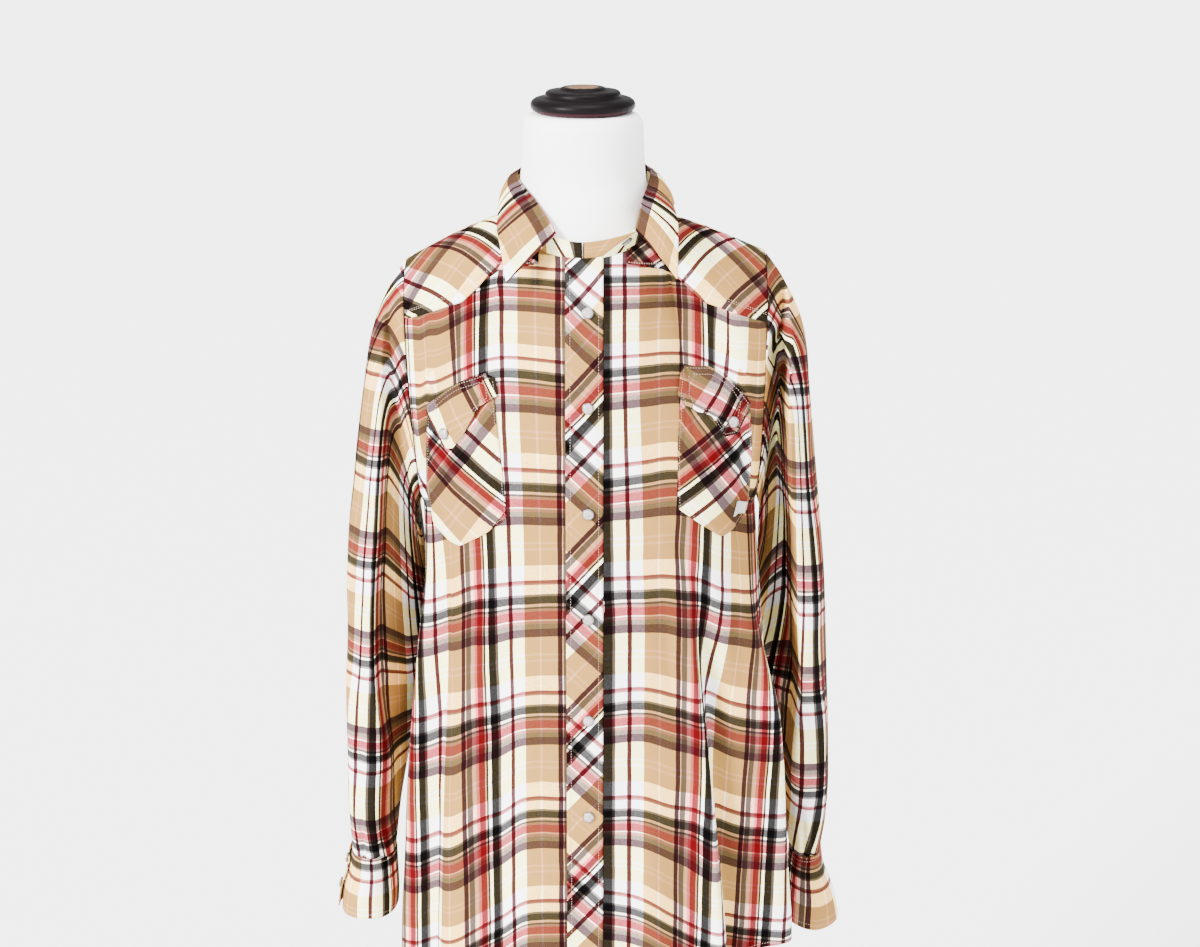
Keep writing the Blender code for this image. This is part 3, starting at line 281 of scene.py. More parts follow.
# Creases: the middle's x and z, length and width, height, and degrees turned from upright.
CREASES = {
    "front": table("x z long wide high turn", [
        (-0.150, 1.225, 0.150, 0.007, -0.0030, -6.0),
        (-0.157, 1.180, 0.120, 0.006, 0.0030, 4.0),
        (-0.143, 1.290, 0.090, 0.009, -0.0022, 16.0),
        (-0.100, 1.290, 0.070, 0.008, 0.0012, 8.0),
        (-0.062, 1.240, 0.110, 0.012, 0.0012, 4.0),
        (-0.118, 1.080, 0.090, 0.008, 0.0020, 12.0),
        (-0.100, 1.030, 0.140, 0.009, -0.0018, 10.0),
        (-0.055, 1.000, 0.160, 0.012, 0.0014, 3.0),
        (-0.130, 0.900, 0.200, 0.009, -0.0022, 4.0),
        (-0.075, 0.800, 0.180, 0.013, 0.0020, -2.0),
        (-0.040, 0.860, 0.140, 0.010, -0.0012, 2.0),
        (-0.022, 1.200, 0.200, 0.006, -0.0008, 1.0),
        (0.026, 1.180, 0.220, 0.006, -0.0008, -1.0),
        (0.055, 1.300, 0.070, 0.008, 0.0010, -6.0),
        (0.120, 1.290, 0.080, 0.009, -0.0020, -12.0),
        (0.150, 1.270, 0.080, 0.009, 0.0010, -8.0),
        (0.160, 1.180, 0.140, 0.008, -0.0026, 4.0),
        (0.154, 1.045, 0.110, 0.006, 0.0036, -4.0),
        (0.100, 1.085, 0.080, 0.008, -0.0024, -24.0),
        (0.060, 1.010, 0.140, 0.011, 0.0014, -6.0),
        (0.085, 0.980, 0.160, 0.008, -0.0018, -8.0),
        (0.050, 0.820, 0.160, 0.011, -0.0014, -3.0),
        (0.150, 0.900, 0.160, 0.010, 0.0022, -10.0),
        (0.175, 0.780, 0.160, 0.009, -0.0024, -8.0),
        (-0.085, 1.345, 0.060, 0.008, 0.0008, 40.0),
        (0.090, 1.350, 0.060, 0.008, 0.0008, -40.0),
    ]),
    "back": table("x z long wide high turn", [
        (-0.140, 1.200, 0.160, 0.010, -0.0026, -10.0),
        (-0.100, 1.120, 0.220, 0.013, 0.0020, -5.0),
        (-0.050, 1.150, 0.200, 0.012, -0.0018, -3.0),
        (0.012, 1.130, 0.180, 0.012, 0.0018, 2.0),
        (0.060, 1.140, 0.220, 0.012, -0.0020, 4.0),
        (0.108, 1.160, 0.180, 0.011, 0.0022, 7.0),
        (0.145, 1.220, 0.140, 0.009, -0.0026, 12.0),
        (-0.120, 0.840, 0.200, 0.012, -0.0022, 3.0),
        (-0.030, 0.860, 0.220, 0.013, 0.0020, -2.0),
        (0.050, 0.800, 0.180, 0.012, -0.0018, 2.0),
        (0.130, 0.880, 0.200, 0.011, 0.0022, -3.0),
    ]),
}


def smooth(value, start=0.0, end=1.0):
    """0 before start, 1 after end, an even S between them."""
    share = np.clip((np.asarray(value, dtype=float) - start) / (end - start), 0.0, 1.0)
    return share * share * (3.0 - 2.0 * share)


def through(keys, values, key):
    """A smooth curve through values at rising keys; it stays flat past either end."""
    key = np.clip(key, keys[0], keys[-1])
    i = np.clip(np.searchsorted(keys, key, side="right") - 1, 0, len(keys) - 2)
    slopes = np.zeros(len(values))
    slopes[0] = (values[1] - values[0]) / (keys[1] - keys[0])
    slopes[-1] = (values[-1] - values[-2]) / (keys[-1] - keys[-2])
    slopes[1:-1] = (values[2:] - values[:-2]) / (keys[2:] - keys[:-2])
    span = keys[i + 1] - keys[i]
    t = (key - keys[i]) / span
    return ((2 * t**3 - 3 * t**2 + 1) * values[i] + (t**3 - 2 * t**2 + t) * slopes[i] * span
            + (3 * t**2 - 2 * t**3) * values[i + 1] + (t**3 - t**2) * slopes[i + 1] * span)


def unit(vectors):
    return vectors / np.maximum(np.linalg.norm(vectors, axis=-1, keepdims=True), 1e-12)


def by_side(angle, left, right):
    return np.where(angle >= 0.0, left, right)


def stack(x, y, z):
    return np.stack(np.broadcast_arrays(x, y, z), axis=-1)


def ring(angle, z, face):
    """The body's outline at a height, a rounded box between a circle and a square."""
    turn = np.radians(np.minimum(abs(angle), 90.0))
    left, right, deep = (through(BODY_RINGS["z"], BODY_RINGS[name], z) for name in ("left", "right", face))
    x = by_side(angle, left, right) * np.sin(turn) ** (2.0 / ROUNDNESS)
    y = deep * np.maximum(0.0, np.cos(turn)) ** (2.0 / ROUNDNESS)
    return stack(np.copysign(x, angle), OUT[face] * y, z)


def top_edge(angle, face):
    """The neckline and the shoulder seam."""
    share = abs(angle) / 90.0
    turn = np.minimum(share / NECK_SHARE, 1.0) * math.pi / 2.0
    along = np.clip((share - NECK_SHARE) / (1.0 - NECK_SHARE), 0.0, 1.0)
    tip_x, tip_z = by_side(angle, TIP_LEFT[0], TIP_RIGHT[0]), by_side(angle, TIP_LEFT[1], TIP_RIGHT[1])
    on_neck = share <= NECK_SHARE
    x = np.where(on_neck, NECK_HALF_WIDTH * np.sin(turn), NECK_HALF_WIDTH + (tip_x - NECK_HALF_WIDTH) * along)
    y = np.where(on_neck, NECK_DEPTH[face] * np.cos(turn), 0.0)
    rise = NECK_CENTRE_Z[face] - NECK_POINT_Z
    z = np.where(on_neck, NECK_POINT_Z + rise * np.maximum(np.cos(turn), 0.0) ** 1.3,
                 NECK_POINT_Z + (tip_z - NECK_POINT_Z) * along**1.25)
    y = np.maximum(y, SEAM_SLIT * (1.0 + smooth(share, 0.7, 1.0)) * 0.5)
    return stack(np.copysign(x, angle), OUT[face] * y, z)


def plain(angle, level, face):
    """The body with no folds: level 0 is the hem, 1 the armhole's foot, 2 the shoulder."""
    angle, level = np.broadcast_arrays(np.asarray(angle, dtype=float), np.asarray(level, dtype=float))
    centre = HEM_CENTRE_Z[face]
    low = centre + (by_side(angle, HEM_LEFT_Z, HEM_RIGHT_Z) - centre) * smooth(abs(angle), 18.0, 66.0)
    below = ring(angle, low + (ARMPIT_Z - low) * np.minimum(level, 1.0), face)
    share = abs(angle) / 90.0
    start = ring(angle, np.full(angle.shape, ARMPIT_Z), face)
    end = top_edge(angle, face)
    edge = smooth(share, 0.55, 1.0)
    climb = stack(0.0 * edge, OUT[face] * ARMHOLE_BOW[face] * edge, CHEST_RISE * (1.0 - 0.85 * edge))
    reach = REACH[face]
    leave = stack(np.copysign(-0.004 * edge, angle), OUT[face] * through(reach["share"], reach["out"], share),
                  -through(reach["share"], reach["down"], share))
    t = np.clip(level - 1.0, 0.0, 1.0)[..., None]
    above = ((1 - t) ** 3 * start + 3 * (1 - t) ** 2 * t * (start + climb)
             + 3 * (1 - t) * t**2 * (end + leave) + t**3 * end)
    return np.where((level <= 1.0)[..., None], below, above)


def creased(points, creases):
    """Soft ridges and troughs, each laid along its own line on the cloth as seen from the front."""
    push = np.zeros(points.shape[:-1])
    for x, z, long, wide, high, turn in zip(*creases.values()):
        lean = math.radians(turn)
        dx, dz = points[..., 0] - x, points[..., 2] - z
        across = dx * math.cos(lean) - dz * math.sin(lean)
        along = dx * math.sin(lean) + dz * math.cos(lean)
        push += high * np.exp(-(across / wide) ** 2 - (2.0 * along / long) ** 4)
    return push


def push_out(angle, points, face):
    """How far folds and creases push the cloth out."""
    z = points[..., 2]
    height = np.zeros(z.shape)
    for top, bottom, top_at, bottom_at, width, high in zip(*FOLDS[face].values()):
        down = np.clip((top - z) / (top - bottom), 0.0, 1.0)
        across = (angle - top_at - (bottom_at - top_at) * down) / width
        height += np.where(z < top, high * smooth(down, 0.0, 0.35) * np.exp(-across * across), 0.0)
    height *= 1.0 - smooth(abs(angle), 78.0, 89.5)
    return height + creased(points, CREASES[face]) * (1.0 - smooth(abs(angle), 80.0, 89.0))


def normals_of(shape, angle, level, face):
    turn, step = 0.6, 0.012
    across = (shape(np.minimum(angle + turn, 89.9), level, face)
              - shape(np.maximum(angle - turn, -89.9), level, face))
    up = (shape(angle, np.minimum(level + step, 2.0), face)
          - shape(angle, np.maximum(level - step, 0.0), face))
    normal = unit(np.cross(across, up))
    return normal if face == "front" else -normal


def cloth(angle, level, face):
    """The cloth's outer surface, with its folds and creases."""
    angle, level = np.broadcast_arrays(np.asarray(angle, dtype=float), np.asarray(level, dtype=float))
    points = plain(angle, level, face)
    push = push_out(angle, points, face)
    return points + normals_of(plain, angle, level, face) * push[..., None]


def cloth_normal(angle, level, face):
    return normals_of(cloth, angle, level, face)


DROP = table("x drop", [(0.0, 0.0), (0.06, 0.001), (0.10, 0.010), (0.14, 0.026), (0.20, 0.036)])
LEAN = 0.10                   # how much wider apart the stripes lie at the shoulders
PLACKET_X = (-0.0160, 0.0190)
STRIPE_AT = {"left": 0.0, "right": 0.0768}     # where the charcoal starts beside the placket
WEFT_AT = 0.038
# The wefts as they lie on the body: eased over the chest and drawn up at the hem.
WEFT_EASE = table("flat woven", [
    (0.500, 0.486), (0.730, 0.727), (0.845, 0.8475), (0.955, 0.958), (1.068, 1.068),
    (1.178, 1.178), (1.280, 1.288), (1.3565, 1.388), (1.430, 1.480), (1.500, 1.560),
])
# How far the stripes stray over the chest: distance from the placket, and metres further out.
STRAY = {
    "left": table("off stray", [
        (0.000, 0.0000), (0.012, 0.0045), (0.030, 0.0070), (0.049, 0.0030), (0.072, -0.0020),
        (0.087, -0.0015), (0.107, -0.0050), (0.125, 0.0030), (0.150, 0.0080),
    ]),
    "right": table("off stray", [
        (0.000, 0.0000), (0.040, -0.0020), (0.057, -0.0040), (0.080, -0.0070),
        (0.100, -0.0090), (0.120, -0.0050), (0.150, 0.0000),
    ]),
}
LOW_STRAY = {"left": -0.002, "right": 0.0}
# How far the wefts droop more: at seven heights, at six distances from the placket.
SAG_Z = np.array([1.400, 1.290, 1.180, 1.070, 0.955, 0.845, 0.735])
SAG_OFF = np.array([0.0, 0.04, 0.07, 0.10, 0.14, 0.18])
SAG = {
    "left": [
        (0.000, 0.001, 0.000, 0.000, 0.000, 0.000),
        (0.001, -0.002, -0.007, -0.008, -0.004, -0.004),
        (0.002, -0.003, -0.010, -0.010, -0.004, 0.000),
        (0.001, -0.001, -0.004, -0.004, 0.002, 0.010),
        (0.001, -0.002, 0.002, -0.001, -0.002, 0.003),
        (0.000, 0.000, 0.007, 0.003, 0.003, 0.006),
        (-0.008, 0.000, 0.016, 0.026, 0.018, 0.018),
    ],
    "right": [
        (0.005, 0.002, 0.000, 0.000, 0.000, 0.000),
        (0.006, 0.002, 0.000, 0.004, 0.011, 0.011),
        (0.007, 0.005, 0.003, 0.003, 0.008, 0.012),
        (0.003, 0.005, 0.006, 0.006, 0.014, 0.021),
        (0.001, 0.003, 0.012, 0.009, 0.014, 0.021),
        (0.000, 0.001, 0.018, 0.020, 0.027, 0.034),
        (0.002, 0.004, 0.024, 0.033, 0.038, 0.050),
    ],
}


def pair_at(rows, low):
    """For each column of the rows, the value in row low and the one in the row after it."""
    return [np.take_along_axis(rows, low[None] + step, axis=0)[0] for step in (0, 1)]


def sag_of(side, off, z):
    """The droop at a distance from the placket and a height."""
    rows = np.stack([through(SAG_OFF, np.array(row), off) for row in SAG[side]])
    at = np.interp(-z, -SAG_Z, np.arange(len(SAG_Z), dtype=float))
    low = np.clip(at.astype(int), 0, len(SAG_Z) - 2)
    first, second = pair_at(rows, low)
    return first + (second - first) * smooth(at - low)


def cloth_uv(angles, levels, face):
    """Metres of flat cloth across and up: measured along the rows below the armhole, and
    climbing with the grain above it."""
    angle, level = np.meshgrid(angles, levels)
    points = cloth(angle, level, face)
    normal = cloth_normal(angle, level, face)
    step = np.linalg.norm(np.diff(points[..., :2], axis=1), axis=-1)
    across = np.concatenate([np.zeros((len(levels), 1)), np.cumsum(step, axis=1)], axis=1)
    middle = int(np.argmin(abs(angles)))
    across = across - across[:, middle:middle + 1]
    up = points[..., 2].copy()
    join = int(np.searchsorted(levels, 1.0 - 1e-9))
    around = unit(np.gradient(points[join], axis=0) * np.array([1.0, 1.0, 0.0]))
    for row in range(join + 1, len(levels)):
        blend = smooth(levels[row] - 1.0, 0.0, 0.6)
        want = unit(around * (1.0 - blend) + np.array([1.0, 0.0, 0.0]) * blend)
        n = unit(normal[row] + normal[row - 1])
        weft = unit(want - n * np.sum(want * n, axis=-1, keepdims=True))
        warp = np.cross(n, weft)
        move = points[row] - points[row - 1]
        warp = warp * np.sign(np.sum(warp * move, axis=-1, keepdims=True))
        across[row] = across[row - 1] + np.sum(move * weft, axis=-1)
        up[row] = up[row - 1] + np.sum(move * warp, axis=-1)
    up += through(DROP["x"], DROP["drop"], abs(points[..., 0]))
    up = np.interp(up, WEFT_EASE["flat"], WEFT_EASE["woven"])
    return points, across, up


def make_mesh(name, points, uv, closed=False, flip=False):
    """A sheet of quads through a grid of points, with its flat-cloth UV in metres."""
    rows, columns = points.shape[:2]
    mesh = bpy.data.meshes.new(name)
    wrap = columns if closed else columns - 1
    low = np.arange(rows - 1)[:, None] * columns
    i = np.arange(wrap)[None, :]
    j = (i + 1) % columns
    quads = np.stack([low + i, low + j, low + columns + j, low + columns + i], axis=-1).reshape(-1, 4)
    r = np.repeat(np.arange(rows - 1), wrap)
    c = np.tile(np.arange(wrap), rows - 1)
    corner_uv = np.stack([uv[r, c], uv[r, c + 1], uv[r + 1, c + 1], uv[r + 1, c]], axis=1)
    if flip:
        quads, corner_uv = quads[:, ::-1], corner_uv[:, ::-1]
    mesh.from_pydata(points.reshape(-1, 3).tolist(), [], quads.tolist())
    layer = mesh.uv_layers.new(name="cloth")
    layer.data.foreach_set("uv", corner_uv.reshape(-1).astype(np.float32))
    mesh.shade_smooth()
    return mesh


def put(name, data):
    """A new object of the data, linked into the scene."""
    made = bpy.data.objects.new(name, data)
    bpy.context.scene.collection.objects.link(made)
    return made


def add_sheet(name, mesh, material=FLANNEL, wall=CLOTH, kind="cloth"):
    """A piece of cloth with its wall, in the place of its node and riding on the part's one body."""
    mesh.materials.append(material)
    piece = put(name + "_" + kind, mesh)
    solid = piece.modifiers.new("wall", "SOLIDIFY")
    solid.thickness = wall
    solid.offset = -1.0
    solid.use_even_offset = False
    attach(piece, "root")
    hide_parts(name)


def run_of(points):
    """How far along an open line each of its points lies."""
    return np.concatenate([[0.0], np.cumsum(np.linalg.norm(np.diff(points, axis=0), axis=-1))])


def at_run(at, run, values):
    """A line's points, or its normals, at the distances at along it."""
    return np.stack([np.interp(at, run, column) for column in values.T], axis=-1)


def mottled(name, colours, grain, roughness=None, kind="TexNoise", span=(0.0, 1.0), **values):
    """A material that goes between two colours, and two roughnesses, in a fine pattern."""
    made, tree, shader = new_material(name, **values)
    place = add_node(tree, "TexCoord").outputs["Object"]
    spots = add_node(tree, kind, Vector=place, **grain).outputs["Fac"]
    feed(tree, shades(tree, spots, *colours, *span), shader.inputs["Base Color"])
    if roughness:
        rough = add_node(tree, "MapRange", Value=spots, To_Min=roughness[0], To_Max=roughness[1])
        feed(tree, rough.outputs["Result"], shader.inputs["Roughness"])
    return made, tree, shader, spots


THREAD, STITCH, PITCH = 0.00042, 0.0019, 0.0027      # thread width, one stitch, stitch to stitch
thread = mottled("sewing_thread", ((0.26, 0.20, 0.15), (0.46, 0.39, 0.31)), {"Scale": 900.0},
                 Roughness=0.7, Specular_IOR_Level=0.1)[0]


def stitch(name, lines):
    """Rows of short stitches, each a low arch of thread, along lines of (points, normals)."""
    arches = []
    for points, normals in lines:
        run = run_of(points)
        starts = np.arange(0.5 * PITCH, run[-1] - PITCH, PITCH)
        along = starts[:, None] + np.array([0.0, 0.3, 0.7, 1.0]) * STITCH
        spine, up = at_run(along, run, points), unit(at_run(along, run, normals))
        side = unit(np.cross(up, unit(spine[:, -1:] - spine[:, :1])))
        wide = (np.array([0.35, 1.0, 1.0, 0.35]) * THREAD / 2.0)[None, :, None]
        high = (np.array([-0.4, 0.7, 0.7, -0.4]) * THREAD)[None, :, None]
        arches.append(np.stack([spine + side * (wide * turn) + up * (high * (1.0 - 0.9 * abs(turn)))
                                for turn in (-1.0, 0.0, 1.0)], axis=2))
    arches = np.concatenate(arches)
    quads = np.array([(3 * i + j, 3 * i + j + 3, 3 * i + j + 4, 3 * i + j + 1)
                      for i in range(3) for j in range(2)])
    faces = (np.arange(len(arches))[:, None, None] * 12 + quads[None]).reshape(-1, 4)
    mesh = bpy.data.meshes.new(name)
    mesh.from_pydata(arches.reshape(-1, 3).tolist(), [], faces.tolist())
    mesh.shade_smooth()
    mesh.materials.append(thread)
    piece = put(name, mesh)
    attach(piece, "root")


HALF_SPLIT = 0.07             # half the slit between two panels, in degrees round
LEVELS = np.concatenate([np.linspace(0.0, 1.0, 96), np.linspace(1.0, 2.0, 66)[1:]])
CENTRE = 3.0                  # where the fronts part, in degrees round
FINE = {
    "right": np.linspace(-90.0 + HALF_SPLIT, CENTRE - HALF_SPLIT, 96),
    "left": np.linspace(CENTRE + HALF_SPLIT, 90.0 - HALF_SPLIT, 92),
    "back": np.linspace(-90.0 + HALF_SPLIT, 90.0 - HALF_SPLIT, 150),
}
points, across, up = cloth_uv(np.concatenate([FINE["right"], FINE["left"]]), LEVELS, "front")
split = len(FINE["right"])
hems = []
for side, edge_x, columns in (("right", PLACKET_X[0], slice(0, split)),
                              ("left", PLACKET_X[1], slice(split, None))):
    part, z = points[:, columns], points[:, columns, 2]
    edge_u = np.array([np.interp(edge_x, row[:, 0], u) for row, u in zip(points, across)])
    from_edge = across[:, columns] - edge_u[:, None]
    off = abs(from_edge) * (1.0 - LEAN * smooth(z, 1.08, 1.33))
    off = off + np.interp(off, STRAY[side]["off"], STRAY[side]["stray"]) * smooth(z, 1.10, 1.30)
    off = off + LOW_STRAY[side] * smooth(-z, -1.10, -1.02)
    u = STRIPE_AT[side] + np.copysign(off, from_edge)
    v = up[:, columns] + WEFT_AT + sag_of(side, abs(from_edge), z)
    add_sheet("front_" + side, make_mesh("front_" + side, part, np.stack([u, v], axis=-1)))
    hems.append((part[1], cloth_normal(FINE[side], LEVELS[1], "front")))
points, across, up = cloth_uv(FINE["back"], LEVELS, "back")
add_sheet("back", make_mesh("back", points, np.stack([across, up + WEFT_AT], axis=-1), flip=True))
hems.append((points[1], cloth_normal(FINE["back"], LEVELS[1], "back")))
stitch("hem_stitching", hems)

# ---------------------------------------------------------------- yokes
# Shaped pieces of the same flannel cut on the bias, laid over the tops of the fronts and
# back and stitched down along their pointed lower edges.

YOKE_RAISE = 0.0014
YOKE_SLOPE = {"front": 50.0, "back": -40.0}      # how far the shoulder leans back
YOKE_FROM = 13.0                                 # degrees round from the middle to a front yoke
FRONT_YOKE = table("x z", [
    (0.040, 1.366), (0.074, 1.357), (0.092, 1.345), (0.104, 1.334), (0.113, 1.326),
    (0.126, 1.3215), (0.145, 1.314), (0.200, 1.292),
])
BACK_YOKE = table("x z", [
    (0.000, 1.215), (0.030, 1.238), (0.066, 1.262), (0.100, 1.270), (0.140, 1.262), (0.200, 1.250),
])


def bias(across, up, turn, shift, stretch=(1.0, 1.0), shear=0.0):
    """Cloth coordinates of a piece cut with its grain turned; a bias cut also gives a little."""
    lean = math.radians(turn)
    across = across + shear * up
    return np.stack([(across * math.cos(lean) - up * math.sin(lean)) * stretch[0] + shift[0],
                     (across * math.sin(lean) + up * math.cos(lean)) * stretch[1] + shift[1]], axis=-1)


def edge_sink(off, roll, roll_to, dent, dent_at, dent_wide):
    """How far a sewn edge sinks: it rolls down at its rim, and its stitches dent it."""
    return roll * (1.0 - smooth(off, 0.0, roll_to)) + dent * np.exp(-((off - dent_at) / dent_wide) ** 2)


def add_yoke(name, face, angles, edge, grain):
    """A patch from its lower edge up to the seam, a layer out from the panel below it; gives
    back the two lines that it is stitched down along."""
    levels = np.linspace(1.0, 2.0, 240)
    grid = cloth(*np.meshgrid(angles, levels), face)
    above = grid[..., 2] - np.interp(abs(grid[..., 0]), edge["x"], edge["z"])
    last = len(levels) - 1 - np.argmax(above[::-1] < 0.0, axis=0)
    last = np.minimum(last, len(levels) - 2)
    low, high = pair_at(above, last)
    start = levels[last] + (levels[1] - levels[0]) * np.clip(-low / np.maximum(high - low, 1e-9), 0.0, 1.0)
    t = np.concatenate([[0.0, 0.012, 0.03, 0.06, 0.08, 0.10], np.linspace(0.14, 1.0, 34)])
    level = start[None, :] + (2.0 - start[None, :]) * t[:, None]
    angle = np.broadcast_to(angles[None, :], level.shape)
    points, normal = cloth(angle, level, face), cloth_normal(angle, level, face)
    sunk = edge_sink(t, 0.0010, 0.02, 0.0005, 0.06, 0.012)
    points = points + normal * (YOKE_RAISE - sunk)[:, None, None]
    slope = math.radians(YOKE_SLOPE[face])
    flat = points[..., 1] * math.sin(slope) + points[..., 2] * math.cos(slope)
    mesh = make_mesh(name, points, bias(points[..., 0], flat, *grain), flip=face == "back")
    add_sheet(name, mesh)
    return [(points[row], normal[row]) for row in (4, 5)]


YOKE_GRAIN = {
    "left": (36.0, (0.0367, 0.0170), (1.097, 1.132), -0.083),
    "right": (-46.6, (0.0101, 0.0256), (1.096, 1.131), 0.095),
}
lines_of = {}
for side in ("right", "left"):
    name = "front_yoke_" + side
    angles = FINE[side][SIGN[side] * FINE[side] > YOKE_FROM]
    lines_of[name] = add_yoke(name, "front", angles, FRONT_YOKE, YOKE_GRAIN[side])
lines_of["back_yoke"] = add_yoke("back_yoke", "back", FINE["back"], BACK_YOKE, (45.0, (0.0, 0.0)))
for name, lines in lines_of.items():
    stitch(name + "_stitching", lines)

# ---------------------------------------------------------------- placket
# A band of bias-cut flannel down the right front, folded at both edges and stitched.

PLACKET_RAISE = 0.0016
PLACKET_GRAIN = (44.6, (0.0935, 0.0761), (0.971, 1.014), 0.062)
angles = np.linspace(-22.0, 22.0, 89)
grid = cloth(*np.meshgrid(angles, LEVELS), "front")
across = np.linspace(PLACKET_X[0], PLACKET_X[1], 25)
angle = np.array([np.interp(across, row[:, 0], angles) for row in grid])
level = np.broadcast_to(LEVELS[:, None], angle.shape)
points, normal = cloth(angle, level, "front"), cloth_normal(angle, level, "front")
share = (across - across[0]) / (across[-1] - across[0])
rim = np.minimum(share, 1.0 - share)
sunk = edge_sink(rim, 0.0010, 0.03, 0.0005, 0.12, 0.03)
points = points + normal * (PLACKET_RAISE - sunk)[None, :, None]
up = (run_of(points[:, 12]) + HEM_CENTRE_Z["front"])[:, None]
uv = bias(np.broadcast_to(across, angle.shape), up, *PLACKET_GRAIN)
add_sheet("placket", make_mesh("placket", points, uv))
stitch("placket_stitching", [(points[2:-6, column], normal[2:-6, column]) for column in (3, 21)])

# ---------------------------------------------------------------- pockets and flaps
# Bias-cut patch pockets stitched on along their edges; each has a shaped flap, puffed a
# little, that is stitched twice along its own edge and is held by a snap.

POCKET = {
    "right": [(-0.083, 1.255), (-0.076, 1.190), (-0.071, 1.132), (-0.092, 1.114), (-0.117, 1.098),
              (-0.130, 1.099), (-0.1435, 1.109), (-0.1500, 1.150), (-0.1490, 1.190), (-0.146, 1.225)],
    "left": [(0.092, 1.262), (0.088, 1.200), (0.089, 1.140), (0.108, 1.124), (0.131, 1.105),
             (0.147, 1.108), (0.1585, 1.120), (0.1600, 1.160), (0.160, 1.190), (0.157, 1.228)],
}
FLAP = {
    "right": [(-0.080, 1.262), (-0.077, 1.247), (-0.096, 1.231), (-0.109, 1.205), (-0.119, 1.192),
              (-0.128, 1.190), (-0.136, 1.203), (-0.147, 1.222), (-0.147, 1.230), (-0.133, 1.241),
              (-0.112, 1.255), (-0.090, 1.264)],
    "left": [(0.090, 1.271), (0.087, 1.246), (0.096, 1.232), (0.117, 1.224), (0.130, 1.202),
             (0.143, 1.203), (0.152, 1.216), (0.157, 1.232), (0.148, 1.246), (0.135, 1.257),
             (0.115, 1.269)],
}
POCKET_LIFT = 0.0014          # how far the pocket's rim stands off the front
POCKET_PUFF = 0.0035
FLAP_PUFF = 0.0030
LAYER = 0.0018                # from the pocket to what lies on it


CHEST_HALF, CHEST_HEIGHT = 0.168, 0.26     # the first guess of the search for a place


def place_on_front(x, z):
    """Angle and level of the front's points that show at x and z, found step by step."""
    turn, climb = 0.3, 0.004
    angle = np.degrees(np.arcsin(np.clip(x / CHEST_HALF, -0.98, 0.98)))
    level = 1.0 + np.clip((z - ARMPIT_Z) / CHEST_HEIGHT, -0.9, 0.95)
    for _ in range(24):
        here = cloth(angle, level, "front")
        wide = (cloth(angle + turn, level, "front") - here) / turn
        tall = (cloth(angle, level + climb, "front") - here) / climb
        dx, dz = x - here[..., 0], z - here[..., 2]
        a, b, c, d = wide[..., 0], tall[..., 0], wide[..., 2], tall[..., 2]
        size = a * d - b * c
        size = np.where(abs(size) < 1e-7, 1e-7, size)
        angle = np.clip(angle + np.clip((dx * d - dz * b) / size, -6.0, 6.0) * 0.8, -88.5, 88.5)
        level = np.clip(level + np.clip((a * dz - c * dx) / size, -0.08, 0.08) * 0.8, 0.0, 2.0)
    return angle, level


def rounded(outline, count=160):
    """The outline walked evenly, with its corners a little softened."""
    closed = np.array(outline + outline[:1])
    run = run_of(closed)
    at = np.linspace(0.0, run[-1], count, endpoint=False)
    walk = at_run(at, run, closed)
    for _ in range(2):
        walk = walk * 0.6 + (np.roll(walk, 1, axis=0) + np.roll(walk, -1, axis=0)) * 0.2
    return walk


def puff_of(outline, x, z, height):
    """A crown over the rectangle round the outline, nothing at its edges."""
    crown = height
    for value, ends in ((x, [p[0] for p in outline]), (z, [p[1] for p in outline])):
        off = abs(value - (min(ends) + max(ends)) / 2.0) / ((max(ends) - min(ends)) / 2.0)
        crown = crown * (1 - np.minimum(1.0, off) ** 2)
    return crown


def over_pocket(side, x, z):
    """How far what lies on the pocket stands off the front."""
    return POCKET_LIFT + LAYER + puff_of(POCKET[side], x, z, POCKET_PUFF)


def patch(outline, lift):
    """A patch filled from its outline inward: points, normals and their flat x and z."""
    rim_line = rounded(outline)
    centre = rim_line.mean(axis=0)
    reach = np.linalg.norm(rim_line - centre, axis=1).mean()
    inset = np.array([0.0, 0.0006, 0.0014, 0.0022, 0.0034, 0.0050, 0.0066, 0.0080, 0.0100])
    share = np.concatenate([1.0 - inset / reach, np.linspace(1.0 - 0.0135 / reach, 0.02, 14)])
    flat = centre + (rim_line - centre)[None] * share[:, None, None]
    x, z = flat[..., 0], flat[..., 1]
    angle, level = place_on_front(x, z)
    base, normal = cloth(angle, level, "front"), cloth_normal(angle, level, "front")
    depth = (1.0 - share) * reach
    sunk = edge_sink(depth, 0.0009, 0.0012, 0.0004, 0.0022, 0.0008)
    sunk = sunk + 0.0004 * np.exp(-((depth - 0.0080) / 0.0010) ** 2)
    points = base + normal * (lift(x, z) - sunk[:, None])[..., None]
    return points, normal, x, z


def close_patch(name, points, uv):
    """A mesh of the rings, with the last ring filled."""
    ring_count = points.shape[1]
    wrapped = np.concatenate([uv, uv[:, :1]], axis=1)
    mesh = make_mesh(name, points, wrapped, closed=True)
    bm = bmesh.new()
    bm.from_mesh(mesh)
    bm.verts.ensure_lookup_table()
    layer = bm.loops.layers.uv["cloth"]
    last = [bm.verts[(points.shape[0] - 1) * ring_count + i] for i in range(ring_count)]
    face = bm.faces.new(last)
    for i, loop in enumerate(face.loops):
        loop[layer].uv = uv[-1, i]
    face.smooth = True
    bmesh.ops.recalc_face_normals(bm, faces=bm.faces)
    bm.normal_update()
    if sum(f.normal.y for f in bm.faces) > 0.0:
        bmesh.ops.reverse_faces(bm, faces=bm.faces)
    bm.to_mesh(mesh)
    bm.free()
    mesh.shade_smooth()
    return mesh


